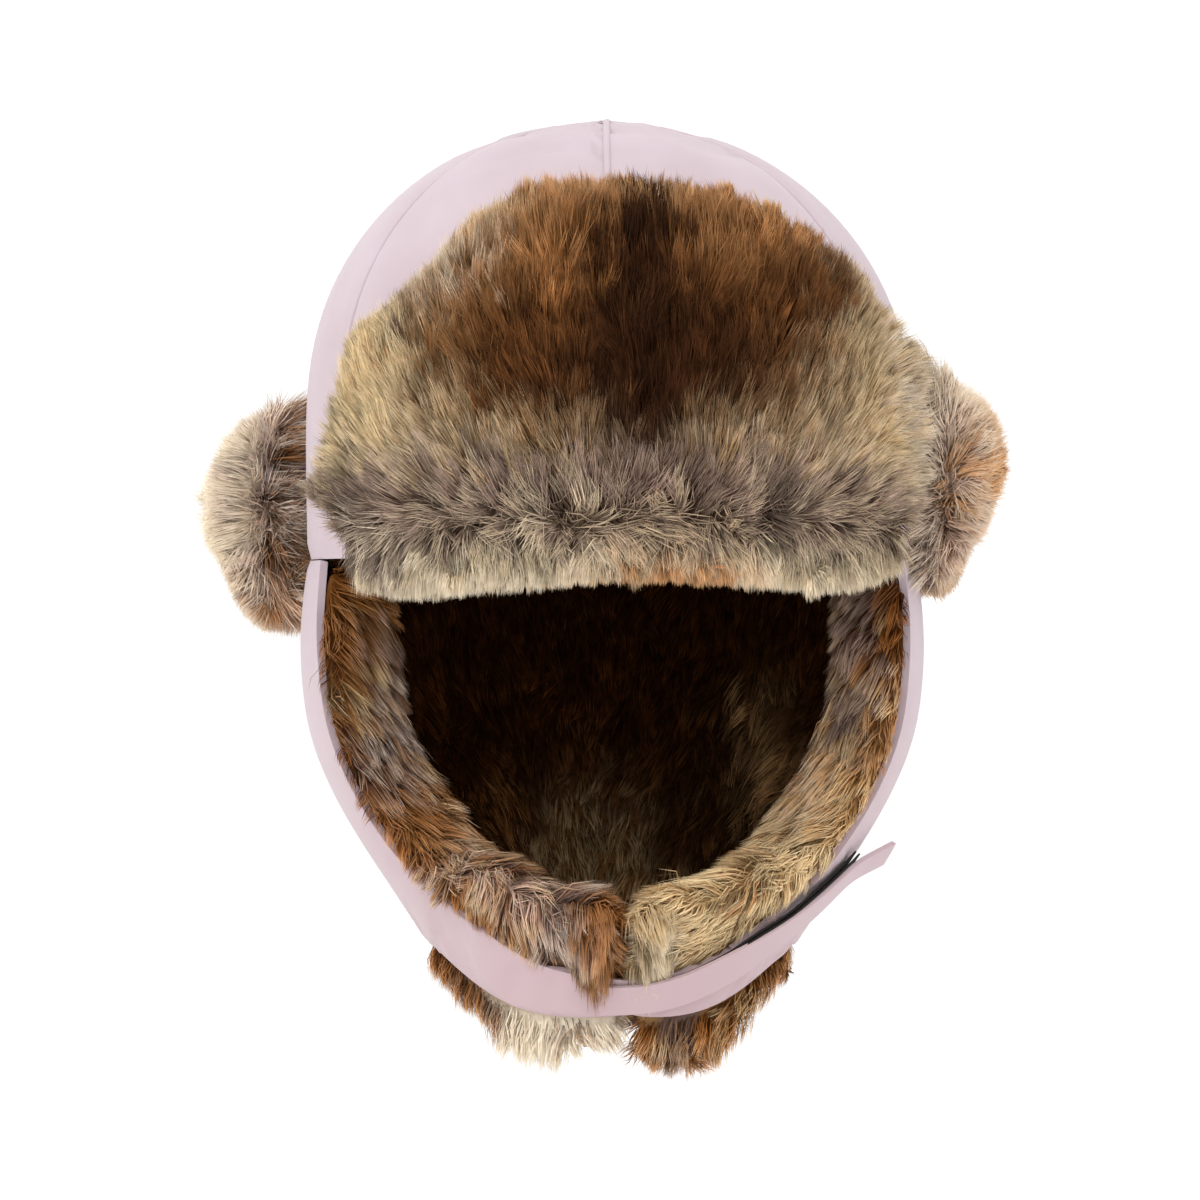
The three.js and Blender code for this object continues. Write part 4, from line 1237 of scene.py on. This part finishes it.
# %% Fur of the ear flaps
RUFF_PATCHES = {
    "left": [
        patch(0.5, 0.5, 9, 9, "bark", "chestnut", "fox"),
        patch(0.22, 0.87, 0.12, 0.07, "umber", "chestnut", "ash"),
        patch(0.06, 0.8, 0.05, 0.12, "umber", "bark", "chestnut"),
        patch(0.12, 0.74, 0.05, 0.04, "bark", "honey", "straw"),
        patch(0.22, 0.67, 0.07, 0.11, "slate", "slate", "smoke"),
        patch(0.42, 0.66, 0.07, 0.13, "honey", "straw", "cream"),
        patch(0.12, 0.56, 0.07, 0.14, "umber", "bark", "chestnut"),
        patch(0.34, 0.52, 0.08, 0.05, "umber", "bark", "chestnut"),
        patch(0.55, 0.4, 0.14, 0.06, "ash", "ash", "straw"),
        patch(0.38, 0.33, 0.14, 0.05, "bark", "chestnut", "fox"),
        patch(0.75, 0.29, 0.1, 0.07, "slate", "ash", "smoke"),
        patch(0.62, 0.22, 0.1, 0.05, "bark", "fox", "amber"),
        patch(0.88, 0.17, 0.09, 0.06, "umber", "chestnut", "fox"),
        patch(0.75, 0.02, 0.6, 0.11, "cream", "cream", "cream"),
        patch(0.33, 0.12, 0.06, 0.12, "chestnut", "amber", "amber"),
    ],
    "right": [
        patch(0.5, 0.5, 9, 9, "chestnut", "honey", "straw"),
        patch(0.85, 0.92, 0.14, 0.16, "umber", "slate", "ash"),
        patch(0.95, 0.85, 0.05, 0.16, "umber", "bark", "chestnut"),
        patch(0.62, 0.66, 0.12, 0.14, "honey", "amber", "cream"),
        patch(0.92, 0.66, 0.05, 0.12, "bark", "fox", "amber"),
        patch(0.8, 0.72, 0.05, 0.08, "slate", "slate", "ash"),
        patch(0.62, 0.8, 0.06, 0.05, "umber", "chestnut", "fox"),
        patch(0.45, 0.38, 0.36, 0.1, "honey", "straw", "straw"),
        patch(0.4, 0.42, 0.05, 0.03, "chestnut", "fox", "amber"),
        patch(0.1, 0.24, 0.14, 0.1, "honey", "straw", "cream"),
        patch(0.3, 0.03, 0.4, 0.12, "bark", "chestnut", "amber"),
        patch(0.2, 0.13, 0.07, 0.035, "slate", "slate", "ash"),
        patch(0.57, 0.2, 0.12, 0.08, "bark", "fox", "amber"),
    ],
}
OPENING_MIDDLE = np.array([4, 0, -52]) * MM
FRINGE_TOP = -138 * MM
FRINGE_BLUR = 8 * MM


def ruff_comb(along, down, spill):
    """A comb round the opening: how much it runs along the ruff, straight down, and over its edges."""
    def comb(roots, ups):
        ray = unit((roots - OPENING_MIDDLE) * np.array([1, 0, 1]))
        sideways = -np.abs(ray[:, 2]) * np.sign(ray[:, 0])
        round_it = np.stack([sideways, np.zeros_like(sideways), -np.abs(ray[:, 0])], axis=1)
        side = np.tanh(2.5 * (ray * ups).sum(axis=1, keepdims=True))
        way = along * round_it + spill * side * ray + np.array([0, -0.2, -down])
        hang = np.clip((FRINGE_TOP - roots[:, 2:]) / FRINGE_BLUR, 0, 1)
        return way * (1 - hang) + np.array([0, -0.1, -1.0]) * hang
    return comb


def fringe_scale(roots, ups):
    """The fringe below the hem is longer than the ruff."""
    return 1 + 0.35 * np.clip((FRINGE_TOP - roots[:, 2]) / FRINGE_BLUR, 0, 1)


ruffs = {}
for side, along, down, spill, spare, seed in (
    ("left", 0.6, 0.5, 0.7, 4 * MM, 13),
    ("right", 1.0, 0.1, 0.25, 2.5 * MM, 14),
):
    ruffs[side] = grow(
        f"ear_flap_fur_{side}", "brown_fur", [f"ear_flap_{side}"], RUFF_PATCHES[side],
        ruff_comb(along, down, spill), depth=4.5 * MM, count=34000, length=16 * MM, width=0.4 * MM,
        lift=0.5, rise=0.1, lock=30, pull=0.5, ragged=0.03, vary=0.15, bright=1.3, spare=spare,
        scale=fringe_scale, seed=seed,
    )

# %% [markdown]
# At the chin the two ruffs meet. More hairs there hang in front of the hem and of a part of the strap's
# sewn end: a brown tuft from the left ruff that narrows to a point, and a cream one from the right ruff.

# %% Tufts at the chin
TUFTS = {
    "left": dict(middle=(-6, -111), reach=7, comb=(0.1, -0.35, -1), count=2200, length=17),
    "right": dict(middle=(6, -112), reach=9, comb=(0.25, -0.35, -1), count=3000, length=15),
}


def near_chin(middle, reach):
    """Roots gather round a place in the front view, on the ruff's front face."""
    def weight(centres, normals):
        far = np.linalg.norm(centres[:, [0, 2]] - np.array(middle) * MM, axis=1) / (reach * MM)
        return np.exp(-(far**2)) * (normals[:, 1] < -0.2) * (far < 1.6)
    return weight


def pointed(middle, reach):
    """Hair that is longest in the tuft's middle, so that the tuft ends in a point."""
    def scale(roots, ups):
        far = np.abs(roots[:, 0] - middle[0] * MM) / (reach * MM)
        return np.clip(1.1 - 0.55 * far, 0.35, 1.1)
    return scale


for side, tuft in TUFTS.items():
    way = np.array(tuft["comb"])
    plant(f"chin_tuft_{side}", ruffs[side], "brown_fur", in_box(f"ear_flap_fur_{side}"),
          RUFF_PATCHES[side], near_chin(tuft["middle"], tuft["reach"]),
          lambda roots, ups: np.tile(way, (len(roots), 1)) * 2, count=tuft["count"],
          length=tuft["length"] * MM, width=0.4 * MM, lift=0.3, rise=0.05, lock=50, pull=0.45, vary=0.15,
          scale=pointed(tuft["middle"], tuft["reach"]), seed=17)

# %% [markdown]
# ### Nape
# The nape's fur is seen only through the face opening and below the hem, so fewer and wider hairs are
# enough.

# %% Nape fur
NAPE_PATCHES = [
    patch(0.5, 0.5, 9, 9, "umber", "umber", "bark"),
    patch(0.46, 0.3, 0.14, 0.16, "bark", "honey", "straw"),
    patch(0.82, 0.48, 0.07, 0.2, "bark", "honey", "amber"),
    patch(0.25, 0.35, 0.06, 0.15, "umber", "chestnut", "fox"),
    patch(0.5, 0.02, 0.6, 0.1, "bark", "honey", "cream"),
]


def nape_comb(roots, ups):
    """Straight down, and a little into the hat."""
    return np.tile(np.array([0, -0.2, -1.0]), (len(roots), 1))


grow("nape_fur", "brown_fur", ["nape_panel"], NAPE_PATCHES, nape_comb, depth=4 * MM, count=15000,
     length=13 * MM, width=0.5 * MM, lift=0.6, rise=0.2, lock=16, seed=15)

# %% [markdown]
# ## Lining
# Inside the crown a short dark plush lies in the hat's own shadow, and its colour is painted all but black,
# as painted shade over its own dark dye. Its pile is too short to show as hairs, so streaks that run down
# the wall stand for it, as colour and as bump.

# %% Crown lining
# Painted shade: the plush's darker colour is all but black, for the hat's own shadow inside it.
PLUSH_DARK_AND_SHADE = linear(14, 8, 5)
PLUSH_LIGHT = linear(56, 34, 20)
LINING_LEVELS = 1


def plush_material():
    """Short dark plush, painted all but black as painted shade, with faint streaks down the wall."""
    material, nodes, links, shader = new_material("dark_plush")
    place = nodes.new("ShaderNodeTexCoord")
    stretch = nodes.new("ShaderNodeMapping")
    stretch.inputs["Scale"].default_value = (1, 1, 0.15)
    links.new(place.outputs["Object"], stretch.inputs["Vector"])
    pile = nodes.new("ShaderNodeTexNoise")
    pile.inputs["Scale"].default_value = 260
    pile.inputs["Detail"].default_value = 4
    links.new(stretch.outputs["Vector"], pile.inputs["Vector"])
    ramp = nodes.new("ShaderNodeValToRGB")
    ramp.color_ramp.elements[0].position = 0.4
    ramp.color_ramp.elements[0].color = (*PLUSH_DARK_AND_SHADE, 1)
    ramp.color_ramp.elements[1].position = 0.75
    ramp.color_ramp.elements[1].color = (*PLUSH_LIGHT, 1)
    links.new(pile.outputs["Fac"], ramp.inputs["Fac"])
    links.new(ramp.outputs["Color"], shader.inputs["Base Color"])
    bump = nodes.new("ShaderNodeBump")
    bump.inputs["Distance"].default_value = 1.5 * MM
    links.new(pile.outputs["Fac"], bump.inputs["Height"])
    links.new(bump.outputs["Normal"], shader.inputs["Normal"])
    shader.inputs["Roughness"].default_value = 0.95
    shader.inputs["Specular IOR Level"].default_value = 0.1
    return material


lining = copy_of("crown_lining", "crown_lining_plush")
round_off(lining, LINING_LEVELS)
apply_all(lining)
lining.data.shade_smooth()
dress(lining, plush_material(), "dark_plush", "crown_lining")
print(lining.name, len(lining.data.polygons), "faces")

# %% [markdown]
# ## Triangles
# The triangles of every mesh that the script has added are counted.

# %% Triangles
total = 0
for piece in bpy.context.scene.objects:
    if piece.type == "MESH" and piece.name not in frame["nodes"] and piece is not floor:
        piece.data.calc_loop_triangles()
        total += len(piece.data.loop_triangles)
print("triangles added", total)
